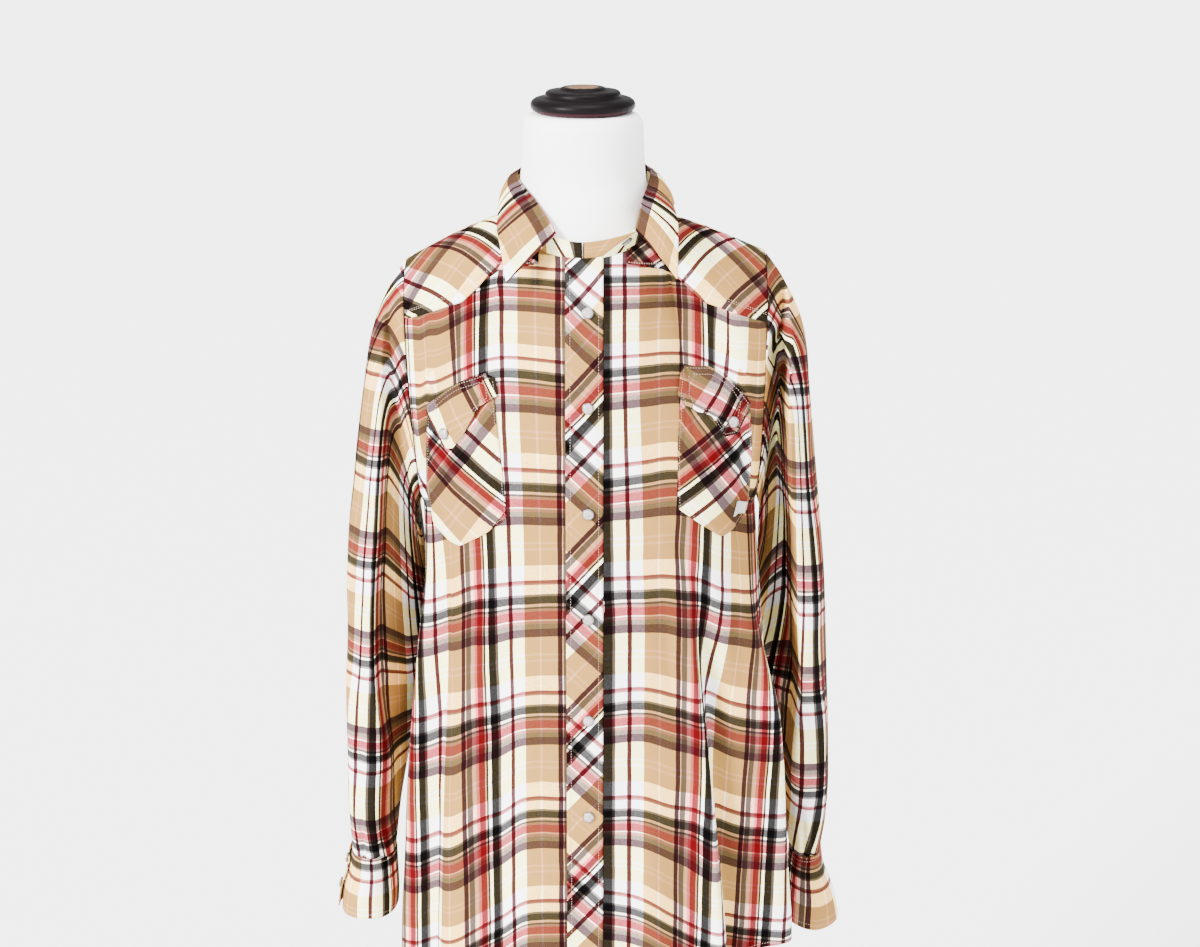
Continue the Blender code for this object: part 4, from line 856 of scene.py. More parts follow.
POCKET_GRAIN = {
    "left": (54.7, (0.0569, 0.0735), (0.914, 1.079), -0.054),
    "right": (-50.8, (0.0637, 0.0500), (0.880, 1.098), 0.120),
}
FLAP_GRAIN = {
    "left": (-149.8, (0.0106, 0.0281), (1.083, 0.880), -0.120),
    "right": (-35.0, (0.0007, 0.0730), (1.117, 0.939), -0.120),
}
for side in ("right", "left"):
    def on_pocket(x, z):
        return POCKET_LIFT + puff_of(POCKET[side], x, z, POCKET_PUFF)

    def on_flap(x, z):
        return over_pocket(side, x, z) + puff_of(FLAP[side], x, z, FLAP_PUFF)

    # The stitched rows lie 2.2 mm and 8 mm in from the rim.
    for name, outline, lift, grain, rows in (
            ("pocket_" + side, POCKET[side], on_pocket, POCKET_GRAIN[side], (3,)),
            ("pocket_flap_" + side, FLAP[side], on_flap, FLAP_GRAIN[side], (3, 7))):
        points, normal, x, z = patch(outline, lift)
        add_sheet(name, close_patch(name, points, bias(x, z, *grain)))
        stitch(name + "_stitching", [(points[row], normal[row]) for row in rows])

# ---------------------------------------------------------------- sleeves
# Long straight sleeves that hang empty: a deep fold down the front parts the outer lobe
# from the underarm cloth, and small pleats gather the end into the cuff.

# Down the sleeve: its outer and inner edge, the middle, front and back of its depth, how much
# of the fold's dip it has, how far its underarm is tucked back, and where the fold lies.
SLEEVE_ROWS = {
    "right": table("outer_x outer_z inner_x inner_z middle front back groove tuck fold", [
        (0.1705, 1.3540, 0.1600, 1.1180, 0.000, 0.058, 0.058, 0.00, 0.000, 0.1905),
        (0.1860, 1.3300, 0.1640, 1.1000, 0.002, 0.063, 0.064, 0.45, 0.006, 0.1905),
        (0.2030, 1.2890, 0.1625, 1.0780, 0.004, 0.068, 0.070, 0.75, 0.016, 0.1925),
        (0.2130, 1.2350, 0.1605, 1.0500, 0.006, 0.069, 0.074, 0.95, 0.026, 0.1960),
        (0.2240, 1.1600, 0.1595, 1.0100, 0.008, 0.066, 0.074, 1.00, 0.034, 0.2000),
        (0.2335, 1.0600, 0.1635, 0.9600, 0.010, 0.062, 0.070, 1.00, 0.038, 0.2075),
        (0.2385, 0.9650, 0.1685, 0.9050, 0.012, 0.058, 0.064, 0.90, 0.036, 0.2092),
        (0.2420, 0.8650, 0.1790, 0.8450, 0.014, 0.052, 0.056, 0.50, 0.026, 0.2000),
        (0.2430, 0.7900, 0.1900, 0.7850, 0.014, 0.046, 0.048, 0.20, 0.012, 0.1940),
        (0.2410, 0.7335, 0.1960, 0.7335, 0.014, 0.034, 0.034, 0.00, 0.000, 0.1940),
    ]),
    "left": table("outer_x outer_z inner_x inner_z middle front back groove tuck fold", [
        (0.1745, 1.3620, 0.1710, 1.1180, 0.000, 0.058, 0.058, 0.00, 0.000, 0.1960),
        (0.1920, 1.3360, 0.1750, 1.1000, 0.004, 0.063, 0.064, 0.60, 0.010, 0.1960),
        (0.2120, 1.2920, 0.1755, 1.0800, 0.008, 0.066, 0.068, 0.95, 0.022, 0.1965),
        (0.2190, 1.2400, 0.1762, 1.0500, 0.012, 0.066, 0.072, 1.00, 0.032, 0.1990),
        (0.2280, 1.1600, 0.1770, 1.0100, 0.016, 0.062, 0.072, 1.00, 0.032, 0.2065),
        (0.2395, 1.0500, 0.1800, 0.9600, 0.018, 0.058, 0.066, 1.00, 0.036, 0.2115),
        (0.2460, 0.9400, 0.1840, 0.9000, 0.020, 0.054, 0.058, 0.80, 0.034, 0.2175),
        (0.2510, 0.8400, 0.1930, 0.8300, 0.022, 0.048, 0.050, 0.45, 0.026, 0.2130),
        (0.2520, 0.7850, 0.2040, 0.7800, 0.024, 0.042, 0.044, 0.20, 0.012, 0.2110),
        (0.2450, 0.7295, 0.2140, 0.7295, 0.022, 0.030, 0.030, 0.00, 0.000, 0.2110),
    ]),
}
SLEEVE_ROUNDNESS = 2.3
# The fold down the front: how sharp it is, and how far back the underarm cloth falls behind it.
FOLD_SHARP = {"right": 0.0075, "left": 0.0060}
FOLD_BACK = {"right": 0.55, "left": 1.25}
SLEEVE_SEAM = 0.0011
# Creases: height, degrees round (0 outer edge, 90 front), length, width in degrees, how
# high, and how many degrees the crease moves round over its length.
SLEEVE_CREASES = {
    "right": table("z turn long wide high slant", [
        (1.300, 62.0, 0.070, 12.0, 0.0040, 40.0),
        (1.285, 84.0, 0.080, 12.0, -0.0040, 40.0),
        (1.240, 30.0, 0.120, 14.0, 0.0018, 10.0),
        (1.150, 40.0, 0.140, 12.0, -0.0018, -8.0),
        (1.060, 20.0, 0.120, 14.0, 0.0020, 12.0),
        (0.980, 50.0, 0.130, 12.0, -0.0020, -12.0),
        (0.900, 30.0, 0.100, 12.0, 0.0022, 14.0),
        (0.850, 64.0, 0.100, 10.0, -0.0024, -8.0),
        (0.830, 110.0, 0.140, 14.0, 0.0026, 10.0),
    ]),
    "left": table("z turn long wide high slant", [
        (1.305, 60.0, 0.070, 12.0, 0.0040, -36.0),
        (1.290, 84.0, 0.080, 12.0, -0.0045, -36.0),
        (1.240, 34.0, 0.120, 14.0, 0.0018, 10.0),
        (1.140, 24.0, 0.140, 12.0, -0.0018, -8.0),
        (1.050, 44.0, 0.120, 14.0, 0.0020, 12.0),
        (0.960, 30.0, 0.130, 12.0, -0.0020, -12.0),
        (0.860, 50.0, 0.100, 12.0, 0.0024, 14.0),
        (0.820, 20.0, 0.090, 10.0, -0.0024, -8.0),
        (0.830, 100.0, 0.140, 14.0, 0.0026, 10.0),
    ]),
}
# These lie round the back and are alike on both sleeves.
BACK_CREASES = table("z turn long wide high slant", [
    (1.180, 128.0, 0.160, 14.0, 0.0030, 20.0),
    (1.080, 140.0, 0.160, 14.0, -0.0026, 18.0),
    (1.180, 250.0, 0.200, 18.0, -0.0030, 16.0),
    (1.050, 280.0, 0.180, 16.0, 0.0026, -14.0),
    (0.930, 255.0, 0.180, 16.0, -0.0026, 12.0),
    (0.850, 300.0, 0.140, 14.0, 0.0020, -10.0),
])
# Pleats where the sleeve is gathered into the cuff: degrees round, depth and width.
PLEATS = {
    "right": table("turn deep wide", [(70.0, 0.0035, 9.0), (112.0, 0.0030, 9.0), (250.0, 0.0030, 10.0)]),
    "left": table("turn deep wide", [(72.0, 0.0034, 9.0), (100.0, 0.0034, 8.0), (250.0, 0.0030, 10.0)]),
}
SLEEVE_COLUMNS, SLEEVE_STEPS = 120, 150
OUTER_EDGE = SLEEVE_COLUMNS // 2


def armhole(turn, side):
    """The edge of the front and back that the sleeve is sewn to."""
    angle = np.full(turn.shape, 90.0 * SIGN[side])
    turn = turn % 360.0
    front = cloth(angle, 2.0 - np.minimum(turn, 180.0) / 180.0, "front")
    back = cloth(angle, 1.0 + np.maximum(turn - 180.0, 0.0) / 180.0, "back")
    return np.where((turn <= 180.0)[..., None], front, back)


def sleeve_shape(turn, position, side):
    """The sleeve's tube before its creases: position goes from row to row of its table."""
    rows = SLEEVE_ROWS[side]
    keys = np.arange(len(rows["groove"]), dtype=float)
    get = {name: through(keys, column, position) for name, column in rows.items()}
    across, along = np.cos(np.radians(turn)), np.sin(np.radians(turn))
    power = 2.0 / SLEEVE_ROUNDNESS
    out = np.copysign(abs(across) ** power, across)
    x = (get["outer_x"] + get["inner_x"]) / 2.0 + (get["outer_x"] - get["inner_x"]) / 2.0 * out
    z = (get["outer_z"] + get["inner_z"]) / 2.0 + (get["outer_z"] - get["inner_z"]) / 2.0 * out
    deep = abs(along) ** power
    dip = FOLD_BACK[side] * smooth(get["fold"] - x, 0.0, FOLD_SHARP[side])
    y = np.where(along >= 0.0, get["middle"] - get["front"] * deep * (1.0 - get["groove"] * dip),
                 get["middle"] + get["back"] * deep * (1.0 - 0.2 * get["groove"] * dip))
    made = stack(SIGN[side] * x, y + get["tuck"] * smooth(-out), z)
    edge = armhole(turn, side) + np.array([SIGN[side] * SLEEVE_SEAM, 0.0, 0.0])
    return edge + (made - edge) * smooth(position)[..., None]


def degrees_from(turn, at):
    """How far round turn lies from at, between -180 and 180."""
    return (turn - at + 180.0) % 360.0 - 180.0


SLEEVE_GRAIN = {
    "left": (186.2, (0.0129, 0.0321), (0.858, 1.010), 0.175),
    "right": (176.6, (0.0715, 0.1042), (0.896, 1.039), -0.180),
}
for side in ("right", "left"):
    turns = np.linspace(-180.0, 180.0, SLEEVE_COLUMNS, endpoint=False)
    turn, position = np.meshgrid(turns, np.linspace(0.0, 9.0, SLEEVE_STEPS))
    points = sleeve_shape(turn, position, side)
    step = np.roll(points, -1, axis=1) - np.roll(points, 1, axis=1)
    normal = unit(np.cross(step, np.gradient(points, axis=0)))
    centre = points.mean(axis=1, keepdims=True)
    facing = np.sign(np.sum(normal * (points - centre), axis=(1, 2), keepdims=True))
    normal = normal * np.where(facing == 0.0, 1.0, facing)
    push = np.zeros(turn.shape)
    for creases in (SLEEVE_CREASES[side], BACK_CREASES):
        for z, at, long, wide, high, slant in zip(*creases.values()):
            along = (z - points[..., 2]) / (long / 2.0)
            off = degrees_from(turn, at + slant * along / 2.0)
            push += high * np.exp(-(off / wide) ** 2 - along**4)
    for at, deep, wide in zip(*PLEATS[side].values()):
        push -= deep * np.exp(-(degrees_from(turn, at) / wide) ** 2) * smooth(position, 7.2, 8.7)
    points = points + normal * (push * smooth(position, 0.0, 0.8))[..., None]

    # Flat cloth: across is measured round each row, and the length down the outer edge. The
    # wefts of the underarm cloth keep only part of the height by which it lags behind that edge.
    step = np.linalg.norm(np.diff(np.concatenate([points, points[:, :1]], axis=1), axis=1), axis=-1)
    across = np.concatenate([np.zeros((len(points), 1)), np.cumsum(step, axis=1)], axis=1)
    across = across - across[:, OUTER_EDGE:OUTER_EDGE + 1]
    edge = points[:, OUTER_EDGE]
    lag = points[..., 2] - edge[:, None, 2]
    fold = through(np.arange(10.0), SLEEVE_ROWS[side]["fold"], position)
    outer_part = np.clip((fold - abs(points[..., 0])) / 0.030, 0.0, 1.0)
    lag = lag * (1.0 - 0.45 * outer_part * (1.0 - smooth(position, 5.0, 9.0)))
    up = (edge[0, 2] - run_of(edge))[:, None] + lag
    up = np.concatenate([up, up[:, :1]], axis=1)
    uv = bias(-SIGN[side] * across, up, *SLEEVE_GRAIN[side])
    mesh = make_mesh("sleeve_" + side, points, uv, closed=True)
    bm = bmesh.new()
    bm.from_mesh(mesh)
    bm.normal_update()
    from_middle = [f.calc_center_median() - Vector(centre[f.index // SLEEVE_COLUMNS, 0]) for f in bm.faces]
    if sum(f.normal.dot(away) for f, away in zip(bm.faces, from_middle)) < 0.0:
        bmesh.ops.reverse_faces(bm, faces=bm.faces)
    bm.to_mesh(mesh)
    bm.free()
    add_sheet("sleeve_" + side, mesh)

# ---------------------------------------------------------------- cuffs
# Doubled bands that flare open at the wrist, with their ends lapped at the back.

CUFF_ROWS = {
    "right": table("x y z half_x half_y", [
        (0.2185, 0.014, 0.7330, 0.0235, 0.0350),
        (0.2195, 0.014, 0.7130, 0.0250, 0.0365),
        (0.2225, 0.012, 0.6900, 0.0290, 0.0385),
        (0.2245, 0.010, 0.6690, 0.0300, 0.0390),
    ]),
    "left": table("x y z half_x half_y", [
        (0.2295, 0.022, 0.7290, 0.0165, 0.0310),
        (0.2305, 0.020, 0.7080, 0.0185, 0.0330),
        (0.2345, 0.016, 0.6820, 0.0245, 0.0370),
        (0.2375, 0.012, 0.6560, 0.0275, 0.0390),
    ]),
}
CUFF_LAP = 40.0
CUFF_OPEN_AT = {"right": 150.0, "left": 30.0}
CUFF_GRAIN = {
    "left": (183.8, (0.0004, 0.0259), (0.895, 1.120), -0.058),
    "right": (178.7, (0.0456, 0.0207), (1.100, 1.100), 0.031),
}
CUFF_WALL = 0.0016
CUFF_STEPS = np.concatenate([[0.0, 0.015, 0.04, 0.07, 0.10], np.linspace(0.15, 0.85, 14),
                             [0.90, 0.93, 0.96, 0.985, 1.0]])


def cuff_shape(share, down, side):
    """The band's outer surface; share goes round it once and on over the lap."""
    get = {name: through(np.arange(4.0), column, down * 3.0) for name, column in CUFF_ROWS[side].items()}
    turn = np.radians(CUFF_OPEN_AT[side] + share * (360.0 + CUFF_LAP))
    lap = CUFF_LAP / (360.0 + CUFF_LAP)
    out = 0.0026 * smooth(share, 1.0 - 2.2 * lap, 1.0 - lap)
    return stack(SIGN[side] * get["x"] + (get["half_x"] + out) * np.cos(turn),
                 get["y"] + (get["half_y"] + out) * np.sin(turn), get["z"])


for side in ("right", "left"):
    share, down = np.meshgrid(np.linspace(0.0, 1.0, 130), CUFF_STEPS)
    points = cuff_shape(share, down, side)
    rim = np.minimum(down, 1.0 - down)
    sunk = edge_sink(rim, 0.0006, 0.03, 0.0004, 0.07, 0.02)
    middle = np.array([points[..., 0].mean(), points[..., 1].mean(), 0.0])
    normal = unit((points - middle) * np.array([1.0, 1.0, 0.0]))
    ripple = 0.0008 * np.sin(share * 31.0 + down * 2.0) * smooth(down, 0.3, 1.0)
    points = points - normal * (sunk - ripple)[..., None]
    uv = bias(np.broadcast_to(run_of(points[12]), share.shape), points[..., 2], *CUFF_GRAIN[side])
    add_sheet("cuff_" + side, make_mesh("cuff_" + side, points, uv, flip=True), wall=CUFF_WALL)
    stitch("cuff_%s_stitching" % side, [(points[row], normal[row]) for row in (3, 20)])

# ---------------------------------------------------------------- collar
# A stand sewn to the neckline and a pointed leaf that folds over it, both of two layers.

COLLAR = table("fold_x fold_y fold_z edge_x edge_y edge_z", [
    (-0.0250, -0.0830, 1.3926, -0.0688, -0.1130, 1.3553),
    (-0.0344, -0.0700, 1.4070, -0.0742, -0.0960, 1.3835),
    (-0.0455, -0.0520, 1.4195, -0.0785, -0.0700, 1.3965),
    (-0.0540, -0.0350, 1.4265, -0.0785, -0.0400, 1.4060),
    (-0.0635, 0.0080, 1.4345, -0.0790, 0.0140, 1.4045),
    (-0.0500, 0.0460, 1.4385, -0.0640, 0.0600, 1.4050),
    (-0.0200, 0.0640, 1.4400, -0.0270, 0.0830, 1.4065),
    (0.0200, 0.0640, 1.4410, 0.0270, 0.0830, 1.4070),
    (0.0500, 0.0460, 1.4410, 0.0660, 0.0600, 1.4070),
    (0.0640, 0.0100, 1.4375, 0.0850, 0.0140, 1.4070),
    (0.0620, -0.0220, 1.4285, 0.0845, -0.0260, 1.4095),
    (0.0559, -0.0540, 1.4193, 0.0872, -0.0640, 1.4022),
    (0.0535, -0.0710, 1.4110, 0.0864, -0.0960, 1.3790),
    (0.0495, -0.0835, 1.3960, 0.0861, -0.1120, 1.3580),
])
COLLAR_WALL = 0.0014
STAND_FOOT_IN = 0.985
STAND_BEHIND = 0.0014          # how far its foot goes down behind the fronts and back
STAND_GRAIN = -0.078
STAND_FRONT = 0.0165           # how high the stand is where it closes at the throat
LEAF_BULGE = 0.003


def collar_line(share, line):
    """Points on the collar's fold or on its edge, from its right point round to its left."""
    return np.stack([through(np.arange(14.0), COLLAR[line + axis], share * 13.0)
                     for axis in ("_x", "_y", "_z")], axis=-1)


def neckline(share):
    """Points round the neck opening, from the front past the right side and the back."""
    turns, q = 90.0 * NECK_SHARE, share * 4.0
    pieces = [top_edge(-turns * q, "front"), top_edge(-turns * (2.0 - q), "back"),
              top_edge(turns * (q - 2.0), "back"), top_edge(turns * (4.0 - q), "front")]
    quarter = np.clip(q.astype(int), 0, 3)[..., None]
    return np.select([quarter == number for number in range(4)], pieces)


def stand_shape(share, up):
    """The stand from the neckline up to just under the leaf's fold."""
    foot = neckline(share) * np.array([STAND_FOOT_IN, STAND_FOOT_IN, 1.0])
    foot = foot - np.array([0.0, 0.0, STAND_BEHIND])
    head = collar_line(share, "fold")
    head[..., 2] -= 0.0040 + 0.0016 * smooth(abs(share - 0.5), 0.36, 0.46)
    closed = smooth(abs(share - 0.5), 0.462, 0.492)[..., None]
    head = head + (foot + np.array([0.0, 0.0005, STAND_FRONT]) - head) * closed
    return foot + (head - foot) * up[..., None]


share, up = np.meshgrid(np.linspace(0.0008, 0.9992, 210), np.linspace(0.0, 1.0, 14))
points = stand_shape(share, up)
uv = np.stack([np.broadcast_to(run_of(points[7]), share.shape), up * 0.03 + STAND_GRAIN], axis=-1)
add_sheet("collar_stand", make_mesh("collar_stand", points, uv), wall=COLLAR_WALL)

shares = np.concatenate([[0.0, 0.004, 0.01, 0.016], np.linspace(0.022, 0.978, 150),
                         [0.984, 0.99, 0.996, 1.0]])
downs = np.concatenate([[-0.10, -0.03, 0.02, 0.05], np.linspace(0.09, 0.93, 22), [0.955, 0.975, 0.99, 1.0]])
share, down = np.meshgrid(shares, downs)
head, foot = collar_line(share, "fold"), collar_line(share, "edge")
away = unit(head * np.array([1.0, 1.0, 0.0]))
over = np.maximum(down, 0.0)[..., None]
lift = 0.0045 * smooth(over, 0.0, 0.15) * (1.0 - over) + LEAF_BULGE * np.sin(math.pi * over)
points = head + (foot - head) * over + away * lift
turned_in = head - away * 0.0012 * (-down / 0.10)[..., None] + np.array([0.0, 0.0, 0.0006])
points = np.where((down < 0.0)[..., None], turned_in, points)
run = np.broadcast_to(run_of(points[14]), share.shape)
hang = -down * np.linalg.norm(foot - head, axis=-1)
LEAF_GRAIN = {
    "right": (-4.4, (0.0199, 0.0861), (1.072, 1.069), -0.150),
    "left": (2.1, (0.0935, 0.0590), (1.150, 1.050), 0.150),
}
uv = np.where((share < 0.5)[..., None], *(bias(run, hang, *LEAF_GRAIN[side]) for side in ("right", "left")))
sunk = edge_sink(1.0 - down, 0.0007, 0.02, 0.0004, 0.10, 0.03)
points = points - away * sunk[..., None]
add_sheet("collar_leaf", make_mesh("collar_leaf", points, uv, flip=True), wall=COLLAR_WALL)
# Stitched a little in from its edge.
stitch("collar_stitching", [(points[-5, 4:-4], away[-5, 4:-4])])

# ---------------------------------------------------------------- snaps
# Pearl-topped press studs: a domed cap of pearly plastic clenched in a thin metal ring.

pearl = mottled("pearl", ((0.20, 0.185, 0.175), (0.42, 0.40, 0.38)),
                {"Scale": 260.0, "Detail": 3.0, "Distortion": 1.6}, span=(0.35, 0.65), Roughness=0.24,
                Specular_IOR_Level=0.35, Coat_Weight=0.15, Coat_Roughness=0.08)[0]
snap_metal = mottled("snap_metal", ((0.10, 0.095, 0.090), (0.24, 0.23, 0.22)), {"Scale": 700.0},
                     roughness=(0.22, 0.42), Metallic=1.0)[0]
RIM_RADIUS, RIM_HEIGHT, RIM_BEVEL = 0.0055, 0.0019, 0.0006
DOME_RADIUS, DOME_FLATTENED, DOME_FOOT = 0.0046, 0.30, 0.0018

bpy.ops.object.select_all(action="DESELECT")
bpy.ops.mesh.primitive_cylinder_add(vertices=32, radius=RIM_RADIUS, depth=RIM_HEIGHT,
                                    location=(0.0, 0.0, RIM_HEIGHT / 2.0))
rim = bpy.context.active_object
bpy.ops.object.transform_apply(location=True, rotation=False, scale=False)
bpy.ops.object.mode_set(mode="EDIT")
bpy.ops.mesh.select_mode(type="EDGE")
bpy.ops.mesh.select_all(action="DESELECT")
bpy.ops.mesh.edges_select_sharp(sharpness=math.radians(45.0))
bpy.ops.mesh.bevel(offset=RIM_BEVEL, segments=3, affect="EDGES")
bpy.ops.object.mode_set(mode="OBJECT")
rim.data.materials.append(snap_metal)

bpy.ops.object.select_all(action="DESELECT")
bpy.ops.mesh.primitive_uv_sphere_add(segments=32, ring_count=18, radius=DOME_RADIUS)
dome = bpy.context.active_object
bpy.ops.object.mode_set(mode="EDIT")
bpy.ops.mesh.select_all(action="SELECT")
bpy.ops.transform.resize(value=(1.0, 1.0, DOME_FLATTENED), center_override=(0.0, 0.0, 0.0))
bpy.ops.mesh.bisect(plane_co=(0.0, 0.0, -0.0001), plane_no=(0.0, 0.0, 1.0), use_fill=True, clear_inner=True)
bpy.ops.mesh.select_all(action="SELECT")
bpy.ops.transform.translate(value=(0.0, 0.0, DOME_FOOT))
bpy.ops.object.mode_set(mode="OBJECT")
dome.data.materials.append(pearl)
dome.select_set(True)
rim.select_set(True)
bpy.context.view_layer.objects.active = rim
bpy.ops.object.join()
bpy.ops.object.shade_smooth_by_angle(angle=math.radians(40.0))


def add_snap(node):
    """A copy of the snap where its node is: the node's flat underside gives its seat."""
    points = np.array([v.co[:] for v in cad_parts[node].data.vertices])
    centre = points.mean(axis=0)
    normal = np.linalg.svd(points - centre)[2][2]
    side = (points - centre) @ normal
    radius = np.linalg.norm((points - centre) - np.outer(side, normal), axis=1)
    if side[radius > 0.98 * radius.max()].mean() > 0.5 * (side.max() + side.min()):
        normal, side = -normal, -side
    seat = Vector(centre + normal * side.min())
    bpy.ops.object.select_all(action="DESELECT")
    rim.select_set(True)
    bpy.context.view_layer.objects.active = rim
    bpy.ops.object.duplicate()
    cap = bpy.context.active_object
    cap.name = cap.data.name = node + "_cap"
    turn = Vector((0.0, 0.0, 1.0)).rotation_difference(Vector(normal))
    cap.data.transform(Matrix.Translation(seat) @ turn.to_matrix().to_4x4())
    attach(cap, "root")
    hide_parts(node)


for name in sorted(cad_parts):
    if name.startswith("snap_"):
        add_snap(name)
bpy.ops.object.select_all(action="DESELECT")
rim.select_set(True)
bpy.ops.object.delete()

# ---------------------------------------------------------------- dress form
# A limbless display torso covered in white jersey, drawn smooth over it, with a round neck.

FORM_RINGS = table("z wide front back", [
    (0.720, 0.136, 0.088, 0.086),
    (0.760, 0.145, 0.093, 0.092),
    (0.840, 0.144, 0.094, 0.092),
    (0.920, 0.130, 0.089, 0.082),
    (1.000, 0.114, 0.087, 0.076),
    (1.070, 0.119, 0.095, 0.083),
    (1.120, 0.130, 0.104, 0.092),
])
FORM_SIDE_FLAT, FORM_EASE, FORM_ARM_SHORT = 0.92, 0.016, 0.10
FORM_CLEAR, FORM_NECK_FOOT = 0.0014, 0.94
# The neck's radius and height.
NECK_RINGS = ((0.0590, 1.432), (0.0580, 1.460), (0.0570, 1.485), (0.0530, 1.4925), (0.0480, 1.4945))

jersey, tree, shader, knit = mottled("white_jersey", ((0.80, 0.79, 0.78), (0.90, 0.895, 0.885)),
                                     {"Scale": 420.0}, Roughness=0.85, Sheen_Weight=0.1)
bump = add_node(tree, "Bump", Strength=0.15, Distance=0.0004, Height=knit)
feed(tree, bump.outputs["Normal"], shader.inputs["Normal"])

form_angles = np.linspace(-90.0, 90.0, 81)


def form_ring(front, back):
    """A closed ring of points, round the front and back again behind."""
    return np.concatenate([front, back[::-1]], axis=0)


rings = []
turn = np.radians(abs(form_angles) * FORM_SIDE_FLAT)
for z in np.linspace(FORM_RINGS["z"][0], FORM_RINGS["z"][-1], 22):
    wide, front, back = (through(FORM_RINGS["z"], FORM_RINGS[name], z) for name in ("wide", "front", "back"))
    x = np.copysign(wide * np.sin(turn), form_angles)
    rings.append(form_ring(stack(x, -front * np.cos(turn), z), stack(x, back * np.cos(turn), z)))
on_neck = abs(form_angles) <= 90.0 * NECK_SHARE + 0.1
for level in np.linspace(1.20, 2.0, 13):
    inset = CLOTH * 2.0 + FORM_CLEAR + FORM_EASE * (1.0 - smooth(level, 1.0, 1.90))
    halves = []
    for face in ("front", "back"):
        points = plain(form_angles, level, face)
        normal = normals_of(plain, form_angles, np.full(form_angles.shape, level), face)
        if level >= 2.0:
            normal[~on_neck] = (0.0, 0.0, 1.0)
            points[~on_neck, 1] = 0.0
        points = points - normal * inset
        if level >= 2.0:
            points[on_neck, :2] *= FORM_NECK_FOOT
        points[:, 0] *= 1.0 - FORM_ARM_SHORT * smooth(abs(form_angles), 54.0, 90.0)
        halves.append(points)
    rings.append(form_ring(*halves))
bm = bmesh.new()
loops = [[bm.verts.new(point) for point in ring_points] for ring_points in rings]
count = len(loops[0])
for low, high in zip(loops, loops[1:]):
    for i in range(count):
        bm.faces.new((low[i], low[(i + 1) % count], high[(i + 1) % count], high[i]))
bm.faces.new(loops[0][::-1])
neck = [i for i in range(len(form_angles)) if on_neck[i]]
loop = [loops[-1][i] for i in neck] + [loops[-1][count - 1 - i] for i in neck[-2:0:-1]]
foot = np.array([v.co[:] for v in loop])
neck_r, neck_z = np.array(NECK_RINGS).T
turns = np.radians(form_angles[neck] / NECK_SHARE)
around = np.concatenate([np.stack([np.sin(turns), -np.cos(turns)], axis=-1),
                         np.stack([np.sin(turns), np.cos(turns)], axis=-1)[-2:0:-1]])
for z in np.concatenate([np.linspace(1.412, 1.480, 8), [1.4855, 1.4895, 1.4925, 1.4940, 1.4945]]):
    radius = np.interp(z, neck_z, neck_r)
    blend = smooth(z, 1.395, 1.440)
    ring_now = []
    for (ax, ay), start in zip(around, foot):
        target = np.array([ax * radius, ay * radius, z])
        here = np.array([start[0], start[1], 0.0]) * (1.0 - blend) + target * blend
        ring_now.append(bm.verts.new((here[0], here[1], max(z, start[2] + 0.002) if blend < 1.0 else z)))
    for i in range(len(loop)):
        j = (i + 1) % len(loop)
        bm.faces.new((loop[i], loop[j], ring_now[j], ring_now[i]))
    loop = ring_now
bm.faces.new(loop)
bmesh.ops.remove_doubles(bm, verts=bm.verts, dist=1e-5)
bmesh.ops.recalc_face_normals(bm, faces=bm.faces)
form_mesh = bpy.data.meshes.new("form_torso_jersey")
bm.to_mesh(form_mesh)
bm.free()
form_mesh.materials.append(jersey)
form_mesh.shade_smooth()
form_mesh.set_sharp_from_angle(angle=math.radians(50.0))
form = put("form_torso_jersey", form_mesh)
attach(form, "root")
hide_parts("form_torso")

# ---------------------------------------------------------------- neck cap
# A turned wooden disc screwed to the neck, lacquered black and rubbed to bare wood on top.

CAP_Z = 1.4948
RED_BELOW = 0.0042            # the reddish rim goes up this far from the cap's foot
WORN_ABOVE, WORN_RADIUS, WORN_RAGGED = 0.0232, 0.006, 0.018      # the bare spot on top
CAP_RINGS = [
    (0.0400, 0.0000), (0.0445, 0.0008), (0.0476, 0.0026), (0.0490, 0.0046), (0.0495, 0.0068),
    (0.0493, 0.0090), (0.0482, 0.0112), (0.0455, 0.0132), (0.0420, 0.0142), (0.0366, 0.0148),
    (0.0358, 0.0156), (0.0358, 0.0170), (0.0352, 0.0190), (0.0335, 0.0203), (0.0300, 0.0208),
    (0.0230, 0.0214), (0.0216, 0.0220), (0.0210, 0.0230), (0.0195, 0.0237), (0.0120, 0.0238),
    (0.0010, 0.0238),
]


def turned(name, rings, lift, material, solid):
    """A turned piece: a disc at its foot, drawn up ring by ring to each (radius, height)."""
    radius, height = rings[0]
    bpy.ops.object.select_all(action="DESELECT")
    bpy.ops.mesh.primitive_circle_add(vertices=96, radius=radius, fill_type="NGON",
                                      location=(0.0, 0.0, height + lift))
    piece = bpy.context.active_object
    piece.name = piece.data.name = name
    bpy.ops.object.transform_apply(location=True, rotation=False, scale=False)
    bpy.ops.object.mode_set(mode="EDIT")
    bpy.ops.mesh.select_mode(type="FACE")
    bpy.ops.mesh.select_all(action="SELECT")
    for next_radius, next_height in rings[1:]:
        bpy.ops.mesh.extrude_region_move(TRANSFORM_OT_translate={"value": (0.0, 0.0, next_height - height)})
        wider = next_radius / radius
        bpy.ops.transform.resize(value=(wider, wider, 1.0), center_override=(0.0, 0.0, next_height + lift))
        radius, height = next_radius, next_height
    bpy.ops.mesh.select_all(action="SELECT")
    bpy.ops.mesh.normals_make_consistent(inside=False)
    bpy.ops.object.mode_set(mode="OBJECT")
    bpy.ops.object.shade_smooth_by_angle(angle=math.radians(40.0))
    piece.data.materials.append(material)
    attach(piece, "root")
    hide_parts(solid)


